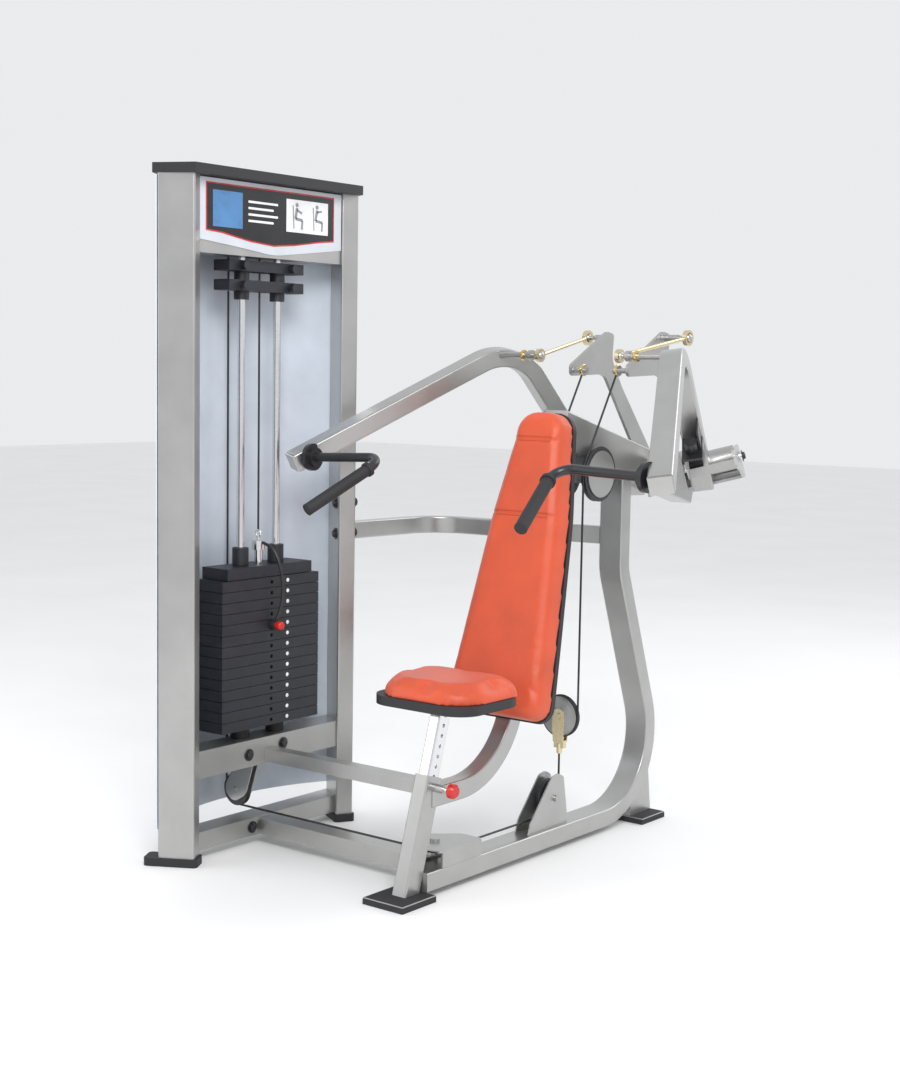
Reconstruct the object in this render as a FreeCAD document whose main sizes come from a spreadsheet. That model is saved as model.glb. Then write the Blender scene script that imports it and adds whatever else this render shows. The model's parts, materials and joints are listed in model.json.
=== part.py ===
import FreeCAD, Part
import math
import os

import Sketcher

# Selectorised chest press. X runs across the seat, +X to the sitter's left; the sitter faces -Y; Z is up.
# Places are measured from the seat's centre plane (X), a line under the seat (Y) and the floor (Z).
# The function at() turns such a place into the row's own, whose origin is the centre of the footprint.

SIZES = {
    # where the centre of the footprint lies in the machine's own places
    "origin_x": -97.9, "origin_y": 474.0,
    # frame tube of 3 x 2 inch, and the tower's columns of 4 x 2 inch
    "tube_wide": 76.2, "tube_deep": 50.8, "tube_corner": 5.0, "plate_thick": 6.0,
    "column_wide": 101.6, "column_deep": 50.8, "column_foot": 22.0, "column_top": 1845.0,
    # the base's underside and its feet
    "base_bottom": 18.0, "base_front": -42.0, "foot_rubber": 8.0, "foot_plate": 10.0,
    # bent main tube: the heel where base and leaning run meet, then the knee below the upright
    "heel_y": 1136.0, "heel_radius": 230.0, "knee_y": 860.4, "knee_z": 772.0, "knee_radius": 150.0,
    "upright_top": 1075.0,
    # slanted seat post: outer sleeve and sliding inner tube
    "post_wide": 46.0, "post_deep": 58.0, "post_lean": 16.5, "post_foot_y": -82.0, "post_length": 304.0,
    "inner_wide": 34.0, "inner_deep": 46.0, "inner_length": 345.0, "inner_gap": 0.4, "hole_pitch": 26.5,
    "hole_radius": 5.2,
    # seat cushion on its board
    "seat_half": 161.0, "seat_front": -62.0, "seat_rear": 205.0, "seat_bottom": 488.0, "seat_board": 24.0,
    "seat_foam": 38.0, "seat_corner": 70.0,
    # back cushion on its board
    "back_lean": 15.0, "back_low_y": 249.0, "back_low_z": 430.0, "back_length": 848.0, "back_low_half": 163.0,
    "back_top_half": 70.0, "back_foam": 62.0, "back_board": 16.0,
    # pivot line of the left arm: a point on it, its turn towards the rear and its rise towards the outside
    "pivot_x": 195.0, "pivot_y": 1083.0, "pivot_z": 1088.0, "pivot_turn": 25.0, "pivot_rise": 15.0,
    "sleeve_radius": 38.0, "sleeve_length": 145.0, "shaft_radius": 14.0,
    # arm tube, its pegs and its handle
    "arm_wide": 62.0, "arm_deep": 52.0, "arm_bend": 150.0, "peg_radius": 9.5, "collar_radius": 15.0,
    "grip_radius": 16.5, "handle_radius": 12.7,
    # rocker between link and cable
    "rocker_x": 96.0, "rocker_thick": 10.0, "rocker_y": 1210.0, "rocker_z": 1040.0, "axle_radius": 12.0,
    # pulleys and cables
    "cable_radius": 3.0, "upper_pulley_radius": 75.0, "block_pulley_radius": 58.0, "base_pulley_radius": 50.0,
    "tower_pulley_radius": 44.0, "pulley_thick": 14.0, "bolt_radius": 9.0,
    # weight stack and its guide rods
    "plate_long": 385.0, "plate_wide": 110.0, "plate_tall": 28.8, "plate_pitch": 30.2, "stack_bottom": 339.0,
    "stack_x": -692.0, "stack_y": 82.0, "rod_spacing": 140.0, "rod_radius": 11.0, "rod_hole": 13.5,
    "stem_radius": 12.0, "stem_hole": 15.0, "pin_radius": 4.8, "pin_hole": 5.3, "top_plate_tall": 32.0,
    "stem_cap_radius": 18.0, "neck_radius": 5.0, "eye_radius": 9.0, "eye_wire": 3.2, "cord_radius": 2.0,
    "bush_radius": 21.0, "knob_radius": 12.0, "increment_hole": 20.0,
    # tower columns, side shell and cap
    "column_x": -666.7, "column_spread": 324.9, "shell_x": -812.0, "shell_radius": 690.8, "shell_thick": 3.0,
    "shroud_bottom": 100.0, "shroud_tall": 1740.0, "cap_overhang": 9.0, "cap_tall": 26.0,
    # head beam, back support and side brace
    "beam_run": 808.8, "beam_length": 737.0, "beam_deep": 104.0, "support_z": 256.0, "support_run": 170.0,
    "support_wide": 50.0, "support_deep": 52.0, "brace_wide": 38.0,
    # pop pin of the seat
    "pin_run": 277.0, "barrel_radius": 11.0, "pin_bore_radius": 6.3, "seat_pin_radius": 6.0,
    # fittings of arms, rockers, links and pulleys
    "hub_bore": 14.05, "neck_wide": 7.0, "ball_radius": 13.0, "front_socket": 13.05, "rear_socket": 16.5,
    "link_rod": 6.0, "front_ring": 19.0, "rear_ring": 22.5,
    "flange_radius": 38.0, "ring_radius": 26.0, "grip_flange": 20.0, "bumper_radius": 19.0,
    "yoke_plate": 8.0, "spacer_radius": 20.0, "cable_peg_radius": 8.0, "strand_x": 58.0,
    "corner_pulley_radius": 40.0, "cheek_thick": 4.0, "disc_radius": 66.0, "small_spacer": 14.0,
    "head_radius": 13.0, "screw_radius": 8.0,
}
RESTING_PLATES = 9
LIFTED_PLATES = 5
SIDES = {"right": -1.0, "left": 1.0}

X = FreeCAD.Vector(1, 0, 0)
Y = FreeCAD.Vector(0, 1, 0)
Z = FreeCAD.Vector(0, 0, 1)

doc = FreeCAD.newDocument("ChestPress")
sheet = doc.addObject("Spreadsheet::Sheet", "Sizes")
rows = []
nodes = []


def vector(x, y, z):
    return FreeCAD.Vector(x, y, z)


def add_size(alias, value):
    """Puts one more number in the sheet and returns its alias."""
    row = len(rows) + 1
    rows.append(alias)
    sheet.set(f"A{row}", alias)
    sheet.set(f"B{row}", f"{value:.6f}")
    sheet.setAlias(f"B{row}", alias)
    return alias


for size_name, size_value in SIZES.items():
    add_size(size_name, size_value)
doc.recompute()


def size(alias):
    return float(sheet.get(alias))


def bind(thing, **cells):
    """Binds properties of an object to cells of the sheet."""
    for prop, alias in cells.items():
        thing.setExpression(prop, f"{sheet.Name}.{alias}")


def at(x, y, z):
    """A point given in the machine's own places, as a point of the row."""
    return vector(x - size("origin_x"), y - size("origin_y"), z)


def finish(thing, label):
    """Names a finished piece and lists it as a node."""
    thing.Label = label
    nodes.append(thing)
    return thing


def placed(position, along, across=None):
    """A placement whose Z runs along one direction and whose X is as near as it can be to another."""
    along = FreeCAD.Vector(along).normalize()
    across = FreeCAD.Vector(across) if across else (X if abs(along.x) < 0.9 else Y)
    side = along.cross(across).normalize()
    return FreeCAD.Placement(position, FreeCAD.Rotation(side.cross(along), side, along, "ZXY"))


def plane_of(body, role):
    return next(f for f in body.Origin.OriginFeatures if f.Role == role)


def new_sketch(body, name, role="XY_Plane"):
    sketch = body.newObject("Sketcher::SketchObject", name)
    sketch.AttachmentSupport = (plane_of(body, role), "")
    sketch.MapMode = "FlatFace"
    return sketch


def draw_rectangle(sketch, width_alias, height_alias):
    """A rectangle centred on the sketch's origin, its two sizes bound to the sheet."""
    half_w = size(width_alias) / 2
    half_h = size(height_alias) / 2
    corners = [(-half_w, -half_h), (half_w, -half_h), (half_w, half_h), (-half_w, half_h)]
    first = sketch.GeometryCount
    for start, end in zip(corners, corners[1:] + corners[:1]):
        sketch.addGeometry(Part.LineSegment(vector(*start, 0), vector(*end, 0)), False)
    for i in range(4):
        sketch.addConstraint(Sketcher.Constraint("Coincident", first + i, 2, first + (i + 1) % 4, 1))
    for i in (0, 2):
        sketch.addConstraint(Sketcher.Constraint("Horizontal", first + i))
        sketch.addConstraint(Sketcher.Constraint("Vertical", first + i + 1))
    sketch.addConstraint(Sketcher.Constraint("Symmetric", first, 1, first + 1, 2, -1, 1))
    for edge, alias in ((first, width_alias), (first + 1, height_alias)):
        number = sketch.addConstraint(Sketcher.Constraint("Distance", edge, size(alias)))
        sketch.setExpression(f"Constraints[{number}]", f"{sheet.Name}.{alias}")


def rounded_corner(before, corner, after, radius):
    """The two tangent points and the middle point of an arc that rounds a corner of an outline."""
    to_before = (before - corner).normalize()
    to_after = (after - corner).normalize()
    half = to_before.getAngle(to_after) / 2
    reach = radius / math.tan(half)
    middle = (to_before + to_after).normalize()
    centre = corner + middle * (radius / math.sin(half))
    return corner + to_before * reach, centre - middle * radius, corner + to_after * reach


def outline_edges(points, radii, closed=True):
    """Lines and arcs through a list of (u, v) corners; a radius of 0 leaves a corner sharp."""
    corners = [vector(u, v, 0) for u, v in points]
    count = len(corners)
    spans = []
    for i, (corner, radius) in enumerate(zip(corners, radii)):
        inner = closed or 0 < i < count - 1
        if radius and inner:
            spans.append(rounded_corner(corners[i - 1], corner, corners[(i + 1) % count], radius))
        else:
            spans.append((corner, None, corner))
    edges = []
    for i, (enter, middle, leave) in enumerate(spans):
        if middle:
            edges.append(Part.Arc(enter, middle, leave))
        if closed or i < count - 1:
            reach = spans[(i + 1) % count][0]
            if (reach - leave).Length > 1e-4:
                edges.append(Part.LineSegment(leave, reach))
    return edges


def draw_outline(sketch, points, radii=None):
    for edge in outline_edges(points, radii or [0] * len(points)):
        sketch.addGeometry(edge, False)


def pad(body, sketch, alias, midplane=False, reverse=False):
    feature = body.newObject("PartDesign::Pad", "Pad")
    feature.Profile = sketch
    bind(feature, Length=alias)
    feature.Midplane = midplane
    feature.Reversed = reverse
    doc.recompute()
    return feature


def long_edges(shape, direction, at_least):
    """Names of the straight edges that run along a direction."""
    names = []
    for number, edge in enumerate(shape.Edges, 1):
        if edge.Curve.TypeId != "Part::GeomLine" or edge.Length < at_least:
            continue
        run = edge.Vertexes[1].Point - edge.Vertexes[0].Point
        if run.normalize().cross(direction).Length < 1e-6:
            names.append(f"Edge{number}")
    return names


def round_edges(body, base, names, alias):
    fillet = body.newObject("PartDesign::Fillet", "Fillet")
    fillet.Base = (base, names)
    bind(fillet, Radius=alias)
    doc.recompute()
    return fillet


def straight_tube(label, start, end, wide, deep, across=None):
    """A straight rectangular tube between two points; its wide side runs along `across`."""
    run = end - start
    body = doc.addObject("PartDesign::Body", label)
    sketch = new_sketch(body, "Section")
    draw_rectangle(sketch, wide, deep)
    base = pad(body, sketch, add_size(f"{label}_run", run.Length))
    round_edges(body, base, long_edges(base.Shape, Z, run.Length * 0.9), "tube_corner")
    body.Placement = placed(start, run, across)
    return body


def flat_plate(label, points, thickness, placement, radii=None, holes=(), midplane=False, edge_round=None):
    """A plate: an outline with round holes, padded by its thickness."""
    body = doc.addObject("PartDesign::Body", label)
    sketch = new_sketch(body, "Outline")
    draw_outline(sketch, points, radii)
    for u, v, radius in holes:
        sketch.addGeometry(Part.Circle(vector(u, v, 0), Z, radius), False)
    base = pad(body, sketch, thickness, midplane)
    if edge_round:
        round_edges(body, base, long_edges(base.Shape, Z, size(thickness) * 0.9), edge_round)
    body.Placement = placement
    return body


def offset_path(points, distance):
    """A path of straight runs moved sideways by a distance, its corners mitred."""
    runs = [(FreeCAD.Vector(b) - FreeCAD.Vector(a)).normalize() for a, b in zip(points, points[1:])]
    normals = [vector(-run.y, run.x, 0) for run in runs]
    moved = [points[0] + normals[0] * distance]
    for before, after, corner in zip(normals, normals[1:], points[1:-1]):
        middle = (before + after).normalize()
        moved.append(corner + middle * (distance / middle.dot(before)))
    moved.append(points[-1] + normals[-1] * distance)
    return moved


def bent_tube(label, path, radii, deep, wide, placement):
    """A rectangular tube bent in one plane: `path` is its centre line as (u, v), `radii` its bends."""
    points = [vector(u, v, 0) for u, v in path]
    half = size(deep) / 2
    left = offset_path(points, half)
    right = offset_path(points, -half)
    left_radii = []
    right_radii = []
    for i, radius in enumerate(radii):
        if not 0 < i < len(points) - 1:
            left_radii.append(0)
            right_radii.append(0)
            continue
        turn = (points[i] - points[i - 1]).cross(points[i + 1] - points[i]).z
        left_radii.append(radius - math.copysign(half, turn))
        right_radii.append(radius + math.copysign(half, turn))
    outline = [(p.x, p.y) for p in left + right[::-1]]
    body = doc.addObject("PartDesign::Body", label)
    sketch = new_sketch(body, "Side")
    draw_outline(sketch, outline, left_radii + right_radii[::-1])
    base = pad(body, sketch, wide, midplane=True)
    names = [f"Edge{n}" for n, e in enumerate(base.Shape.Edges, 1) if is_rim(e, size(wide) / 2, half)]
    round_edges(body, base, names, "tube_corner")
    body.Placement = placement
    return body


def is_rim(edge, level, half):
    """True for an edge that lies in one of the two faces of a pad, apart from the ends of the tube."""
    ends = [v.Point.z for v in edge.Vertexes]
    flat = all(abs(abs(z) - level) < 1e-6 for z in ends) and abs(ends[0] - ends[-1]) < 1e-6
    return flat and abs(edge.Length - 2 * half) > 1e-3


def cylinder(label, start, end, radius):
    """A round bar between two points, its radius bound to the sheet."""
    run = end - start
    bar = doc.addObject("Part::Cylinder", label)
    bind(bar, Radius=radius, Height=add_size(f"{label}_run", run.Length))
    bar.Placement = placed(start, run)
    return bar


def ball(label, centre, radius):
    sphere = doc.addObject("Part::Sphere", label)
    bind(sphere, Radius=radius)
    sphere.Placement = placed(centre, X)
    return sphere


def turned(label, profile, placement, radii=None):
    """A turned piece: a closed (radius, height) profile turned about its own Z axis."""
    body = doc.addObject("PartDesign::Body", label)
    sketch = new_sketch(body, "Profile", "XZ_Plane")
    draw_outline(sketch, profile, radii)
    turn = body.newObject("PartDesign::Revolution", "Turn")
    turn.Profile = sketch
    turn.ReferenceAxis = (sketch, ["V_Axis"])
    turn.Angle = 360
    doc.recompute()
    body.Placement = placement
    return body


def joined(label, pieces):
    fuse = doc.addObject("Part::MultiFuse", label)
    fuse.Shapes = pieces
    fuse.Refine = True
    return fuse


def cut(label, base, tool):
    result = doc.addObject("Part::Cut", label)
    result.Base = base
    result.Tool = tool
    return result


def together(label, pieces):
    """Several separate solids in one node."""
    group = doc.addObject("Part::Compound", label)
    group.Links = pieces
    return group


def path_wire(points, radii):
    """Straight runs joined by tangent arcs, in space."""
    spans = [(points[0], None, points[0])]
    for before, corner, after, radius in zip(points, points[1:], points[2:], radii):
        spans.append(rounded_corner(before, corner, after, radius))
    spans.append((points[-1], None, points[-1]))
    edges = []
    for (_, _, leave), (enter, middle, far) in zip(spans, spans[1:]):
        edges.append(Part.LineSegment(leave, enter).toShape())
        if middle:
            edges.append(Part.Arc(enter, middle, far).toShape())
    return Part.Wire(edges)


def round_tube(label, points, radii, radius):
    """A round bar or cable along straight runs and arcs, swept from its section."""
    wire = path_wire(points, radii)
    start = (points[1] - points[0]).normalize()
    section = Part.Wire(Part.Circle(points[0], start, size(radius)).toShape())
    feature = doc.addObject("Part::Feature", label)
    feature.Shape = wire.makePipeShell([section], True, False)
    expected = math.pi * size(radius) ** 2 * wire.Length
    if abs(feature.Shape.Volume / expected - 1) > 0.02:
        raise ValueError(f"{label}: its volume isn't its section times its length")
    return feature


def limp_radii(points):
    """For each inner point of a cord, 0.45 of the shorter run divided by the tangent of half the turn."""
    radii = []
    for before, corner, after in zip(points, points[1:], points[2:]):
        runs = (corner - before, after - corner)
        half_turn = runs[0].getAngle(runs[1]) / 2
        radii.append(0.45 * min(runs[0].Length, runs[1].Length) / math.tan(half_turn))
    return radii


def wheel_profile(radius, thick, bore, groove):
    """A pulley's half section: a hub, a thin web and a rim with a groove for the cable."""
    half = thick / 2
    rim = radius + 6
    return [
        (bore, -half), (bore + 12, -half), (bore + 12, -half * 0.45), (radius - 12, -half * 0.45),
        (radius - 12, -half), (rim, -half), (radius, -groove), (radius, groove), (rim, half),
        (radius - 12, half), (radius - 12, half * 0.45), (bore + 12, half * 0.45), (bore + 12, half),
        (bore, half),
    ]


def pulley(label, centre, axis, radius_alias):
    """A cable pulley whose groove floor is at the radius in the sheet."""
    bore = size("bolt_radius") + 0.05
    floor = size(radius_alias) - size("cable_radius") - 0.3
    profile = wheel_profile(floor, size("pulley_thick"), bore, size("cable_radius") + 0.5)
    return finish(turned(label, profile, placed(centre, axis)), label)


def box(label, low, high):
    """An upright box between two opposite corners, its three sizes bound to the sheet."""
    block = doc.addObject("Part::Box", label)
    span = high - low
    bind(
        block, Length=add_size(f"{label}_long", span.x), Width=add_size(f"{label}_wide", span.y),
        Height=add_size(f"{label}_tall", span.z),
    )
    block.Placement = FreeCAD.Placement(low, FreeCAD.Rotation())
    return block


def bar(label, start, end, wide, deep, across):
    """A square-edged bar between two points, `wide` along `across` and `deep` the other way."""
    place = placed(start, end - start, across)
    block = doc.addObject("Part::Box", label)
    bind(
        block, Length=add_size(f"{label}_wide", wide), Width=add_size(f"{label}_deep", deep),
        Height=add_size(f"{label}_run", (end - start).Length),
    )
    place.Base = place.multVec(vector(-wide / 2, -deep / 2, 0))
    block.Placement = place
    return block


def side_view(x):
    """Placement of a sketch that is drawn as (Y, Z) and padded towards +X."""
    return placed(at(x, 0, 0), X, Y)


def front_view(y):
    """Placement of a sketch that is drawn as (X, Z) and padded towards -Y."""
    return placed(at(0, y, 0), -Y, X)


def plan_view(z):
    """Placement of a sketch that is drawn as (X, Y) and padded upwards."""
    return placed(at(0, 0, z), Z, X)


# ---- main frame ----

def post_point(run, x=0.0, forward=0.0):
    """A point of the seat post: `run` along it from the foot, `forward` square to it."""
    lean = math.radians(size("post_lean"))
    y = size("post_foot_y") + run * math.sin(lean) - forward * math.cos(lean)
    z = size("base_bottom") + run * math.cos(lean) + forward * math.sin(lean)
    return at(x, y, z)


def back_point(run, depth, x=0.0):
    """A point of the back rest: `run` up along its face, `depth` behind the face."""
    lean = math.radians(size("back_lean"))
    y = size("back_low_y") + run * math.sin(lean) + depth * math.cos(lean)
    z = size("back_low_z") + run * math.cos(lean) - depth * math.sin(lean)
    return at(x, y, z)


def head_beam():
    depth = size("back_foam") + size("back_board")
    lean = math.radians(size("back_lean"))
    start = back_point(size("beam_run"), depth)
    end = start + vector(0, math.cos(lean), -math.sin(lean)) * size("beam_length")
    beam = straight_tube("beam_tube", start, end, "tube_wide", "beam_deep", X)
    hole = cylinder("beam_axle_hole", rocker_pivot(-60), rocker_pivot(60), "axle_radius")
    return finish(cut("head_beam", beam, hole), "head_beam")


def main_tube(beam, sleeve):
    level = size("base_bottom") + size("tube_deep") / 2
    path = [
        (size("base_front"), level), (size("heel_y"), level), (size("knee_y"), size("knee_z")),
        (size("knee_y"), size("upright_top")),
    ]
    tube = bent_tube(
        "main_run", path, [0, size("heel_radius"), size("knee_radius"), 0], "tube_deep", "tube_wide",
        side_view(0),
    )
    bottom = size("base_bottom")
    gusset = flat_plate(
        "heel_gusset", [(945, bottom), (1062, bottom), (1040, 180), (1000, 150), (950, 80)], "tube_deep",
        side_view(0), midplane=True,
    )
    plates = []
    for name, half, front, rear in (("front", 64.7, -172.5, -40.0), ("rear", 72.3, 942.0, 1067.0)):
        low = at(-half, front, size("foot_rubber"))
        plates.append(box(f"{name}_foot_plate", low, at(half, rear, bottom)))
    body = joined("main_weldment", [tube, gusset] + plates)
    below_beam = cut("main_below_beam", body, beam)
    return finish(cut("main_tube", below_beam, sleeve), "main_tube")


def feet():
    """Rubber under the two foot plates, and the tower's two wedge feet in line with its columns."""
    pieces = []
    for name, half, front, rear in (("front", 62.0, -170.0, -62.0), ("rear", 70.0, 944.0, 1065.0)):
        pieces.append(box(f"{name}_rubber", at(-half, front, 0), at(half, rear, size("foot_rubber"))))
    for name in ("front", "rear"):
        wide, deep = column_axes(name)
        centre = column_centre(name)
        outer = size("column_wide") / 2 + 40
        inner = size("column_wide") / 2 + 8
        half = size("column_deep") / 2 + 6
        low = [
            centre + wide * u + deep * v
            for u, v in ((-inner, -half), (outer, -half), (outer, half), (-inner, half))
        ]
        foot = flat_plate(
            f"{name}_tower_foot", [(p.x, p.y) for p in low], "column_foot",
            placed(vector(0, 0, 0), Z, X), radii=[12] * 4,
        )
        pieces.append(foot)
    return finish(together("feet", pieces), "feet")


def post_sleeve():
    """The leaning sleeve of the seat post, its bore, and the barrel of its pop pin."""
    outer = straight_tube(
        "sleeve_outer", post_point(-12), post_point(size("post_length")), "post_wide", "post_deep", X,
    )
    bore_wide = size("inner_wide") + 2 * size("inner_gap")
    bore_deep = size("inner_deep") + 2 * size("inner_gap")
    bore = bar("sleeve_bore", post_point(12), post_point(size("post_length") + 5), bore_wide, bore_deep, X)
    floor = box("sleeve_floor", at(-60, -160, -20), at(60, 0, size("base_bottom")))
    pin = post_point(size("pin_run"), size("post_wide") / 2 - 3)
    barrel = cylinder("pin_barrel", pin, pin + X * 38, "barrel_radius")
    pin_bore = cylinder("pin_bore", pin - X * 20, pin + X * 60, "pin_bore_radius")
    body = joined("sleeve_and_barrel", [outer, barrel])
    tools = joined("sleeve_tools", [bore, floor, pin_bore])
    finish(cut("post_sleeve", body, tools), "post_sleeve")
    return body


def back_support(sleeve, board):
    """The tube that leaves the seat post and curves up behind the back board."""
    depth = size("back_foam") + size("back_board") + size("support_deep") / 2
    lean = math.radians(size("back_lean"))
    level = size("support_z")
    low = back_point(0, depth)
    corner_y = low.y + size("origin_y") - (low.z - level) * math.tan(lean)
    top = back_point(size("support_run"), depth)
    path = [(-10, level), (corner_y, level), (top.y + size("origin_y"), top.z)]
    tube = bent_tube("support_run_tube", path, [0, 250, 0], "support_deep", "support_wide", side_view(0))
    coped = cut("support_off_sleeve", tube, sleeve)
    return finish(cut("back_support", coped, board), "back_support")


def back_rest():
    """The back cushion and its board: wide below, narrow and arched above."""
    low = size("back_low_half")
    top = size("back_top_half")
    tall = size("back_length")
    half = [(low, 0), (142, 259), (117, 551), (top, tall)]
    points = half + [(-u, v) for u, v in reversed(half)]
    radii = [45, 500, 900, 62, 62, 900, 500, 45]
    lean = math.radians(size("back_lean"))
    facing = vector(0, -math.cos(lean), math.sin(lean))
    foam_place = placed(back_point(0, size("back_foam")), facing, X)
    board_place = placed(back_point(0, size("back_foam") + size("back_board")), facing, X)
    pad_body = flat_plate("back_pad", points, "back_foam", foam_place, radii)
    board = flat_plate("back_board", points, "back_board", board_place, radii)
    finish(pad_body, "back_pad")
    return finish(board, "back_board")


def cross_tubes():
    """The two level tubes that tie the seat side to the tower."""
    pieces = []
    half = size("tube_wide") / 2
    lower = bar("lower_cross", at(-half, 78, 53.9), at(-650, 78, 53.9), 76.2, 44.3, Y)
    pieces.append(lower)
    side = size("support_wide") / 2
    pieces.append(bar("upper_cross", at(-side, 79, 255.5), at(-640, 79, 255.5), 38.1, 38.1, Y))
    return finish(together("cross_tubes", pieces), "cross_tubes")


def side_brace(neighbours):
    """The bowed tube from the rear column to the upright, coped to what it meets."""
    path = [(-642, 418), (-612, 775), (-size("tube_wide") / 2, 852)]
    tube = bent_tube("brace_run", path, [0, 130, 0], "brace_wide", "tube_deep", plan_view(872))
    for number, piece in enumerate(neighbours):
        tube = cut(f"brace_cope_{number}", tube, piece)
    return finish(tube, "side_brace")


# ---- seat ----

def seat():
    outline = [
        (-size("seat_half"), size("seat_front")), (size("seat_half"), size("seat_front")),
        (size("seat_half"), size("seat_rear")), (-size("seat_half"), size("seat_rear")),
    ]
    corner = [size("seat_corner")] * 4
    board = flat_plate("seat_board", outline, "seat_board", plan_view(size("seat_bottom")), corner)
    foam = flat_plate(
        "seat_pad", outline, "seat_foam", plan_view(size("seat_bottom") + size("seat_board")), corner,
    )
    lean = math.radians(size("post_lean"))
    top_run = (size("seat_bottom") - size("base_bottom")) / math.cos(lean)
    start = post_point(top_run - size("inner_length"))
    tube = straight_tube("inner_tube", start, post_point(top_run + 20), "inner_wide", "inner_deep", X)
    ceiling = box("post_ceiling", at(-50, 0, size("seat_bottom")), at(50, 160, size("seat_bottom") + 60))
    holes = []
    for i in range(-5, 8):
        run = size("pin_run") + i * size("hole_pitch")
        side = size("inner_wide") / 2
        holes.append(cylinder(f"post_hole_{i + 5}", post_point(run, side - 8), post_point(run, side + 5),
                              "hole_radius"))
    post = cut("seat_post_tube", tube, together("post_tools", holes))
    return finish(cut("seat_post", post, ceiling), "seat_post"), finish(board, "seat_board"), \
        finish(foam, "seat_pad")


def seat_pin():
    """The pop pin: a rod that stops just short of the post, and its round knob."""
    rod = size("seat_pin_radius")
    profile = [(0, 0), (rod, 0), (rod, 54), (12, 54), (19, 60), (19, 72), (14, 78), (0, 78)]
    start = post_point(size("pin_run"), size("inner_wide") / 2 + 1)
    return finish(turned("seat_pin", profile, placed(start, X)), "seat_pin")


# ---- tower ----

def column_axes(name):
    """Directions of a column's wide side, outwards, and of its narrow side, towards the other column."""
    way = -1 if name == "front" else 1
    angle = math.radians(30)
    return vector(-math.cos(angle), way * math.sin(angle), 0), vector(-math.sin(angle), -way * math.cos(angle), 0)


def column_centre(name):
    y = size("stack_y") + (-1 if name == "front" else 1) * size("column_spread")
    return at(size("column_x"), y, 0)


def column(name):
    centre = column_centre(name)
    wide, _ = column_axes(name)
    low = centre + Z * size("column_foot")
    high = centre + Z * size("column_top")
    tube = straight_tube(f"{name}_column", low, high, "column_wide", "column_deep", wide)
    return tube


def inner_face_y(x):
    """Y of the front column's inner face at a place across the tower."""
    return -195.2 + (x + 635) * math.tan(math.radians(30))


def crossbar(label, front_x, deep, low, tall, holes=()):
    """A bar between the two columns, mitred to their inner faces."""
    near = inner_face_y(front_x)
    far = inner_face_y(front_x - deep)
    mirror = 2 * size("stack_y")
    points = [(front_x, near), (front_x, mirror - near), (front_x - deep, mirror - far), (front_x - deep, far)]
    return flat_plate(label, points, add_size(f"{label}_tall", tall), plan_view(low), holes=holes)


def top_pulley_slot():
    """The room that the top pulley needs in the bar under it."""
    centre, _, axis = top_pulley_place()
    radius = (centre - at(size("stack_x"), size("stack_y"), TOP_PULLEY_Z)).Length
    add_size("top_pulley_radius", radius)
    add_size("slot_radius", radius + 4)
    doc.recompute()
    half = size("pulley_thick") / 2 + 1.5
    return cylinder("top_pulley_slot", centre - axis * half, centre + axis * half, "slot_radius")


def crossbars():
    hole = [(size("stack_x"), size("stack_y"), 8.0)]
    top = crossbar("top_crossbar", -641, 80, 1645, 76, hole)
    bars = [
        crossbar("lower_crossbar", -650, 72, 27, 51),
        crossbar("mid_crossbar", -640, 80, 230, 76),
        cut("top_crossbar_slotted", top, top_pulley_slot()),
    ]
    return finish(together("tower_crossbars", bars), "tower_crossbars")


def shell_centre():
    return size("shell_x") + size("shell_radius")


def shell_end(radius, way):
    """Where the side shell's arc ends, at the outer edges of the columns."""
    angle = math.asin(374.0 / size("shell_radius"))
    x = shell_centre() - radius * math.cos(angle)
    return vector(x, size("stack_y") + way * radius * math.sin(angle), 0)


def shroud():
    """The thin curved sheet that closes the tower's outer side."""
    outer = size("shell_radius")
    inner = outer - size("shell_thick")
    middle_y = size("stack_y")
    body = doc.addObject("PartDesign::Body", "shroud")
    sketch = new_sketch(body, "Section")
    ends = [shell_end(outer, -1), shell_end(outer, 1), shell_end(inner, 1), shell_end(inner, -1)]
    sketch.addGeometry(Part.Arc(ends[0], vector(shell_centre() - outer, middle_y, 0), ends[1]), False)
    sketch.addGeometry(Part.LineSegment(ends[1], ends[2]), False)
    sketch.addGeometry(Part.Arc(ends[2], vector(shell_centre() - inner, middle_y, 0), ends[3]), False)
    sketch.addGeometry(Part.LineSegment(ends[3], ends[0]), False)
    pad(body, sketch, "shroud_tall")
    body.Placement = plan_view(size("shroud_bottom"))
    return finish(body, "shroud")


def tower_cap():
    """The cap: a straight edge at the stack's side, two facets and the arc of the side shell."""
    reach = size("cap_overhang")
    body = doc.addObject("PartDesign::Body", "tower_cap")
    sketch = new_sketch(body, "Outline")
    near = [vector(-600, -246, 0), vector(-600, 2 * size("stack_y") + 246, 0)]
    far = [shell_end(size("shell_radius") + reach, way) for way in (-1, 1)]
    middle = vector(size("shell_x") - reach, size("stack_y"), 0)
    sketch.addGeometry(Part.LineSegment(far[0], near[0]), False)
    sketch.addGeometry(Part.LineSegment(near[0], near[1]), False)
    sketch.addGeometry(Part.LineSegment(near[1], far[1]), False)
    sketch.addGeometry(Part.Arc(far[1], middle, far[0]), False)
    pad(body, sketch, "cap_tall")
    body.Placement = plan_view(size("column_top"))
    return finish(body, "tower_cap")


def sign_plate():
    """The sheet behind the label, with a wavy lower edge."""
    wave = [(359, 1684), (207, 1666), (82, 1652), (-43, 1666), (-195, 1680)]
    points = [(-195, 1842), (359, 1842)] + wave
    plate = flat_plate("sign_plate", points, "shell_thick", side_view(-641), [0, 0, 0, 500, 260, 500, 0])
    return finish(plate, "sign_plate")


# ---- weight stack ----

def rod_places():
    half = size("rod_spacing") / 2
    return [(size("stack_x"), size("stack_y") - half), (size("stack_x"), size("stack_y") + half)]


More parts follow.
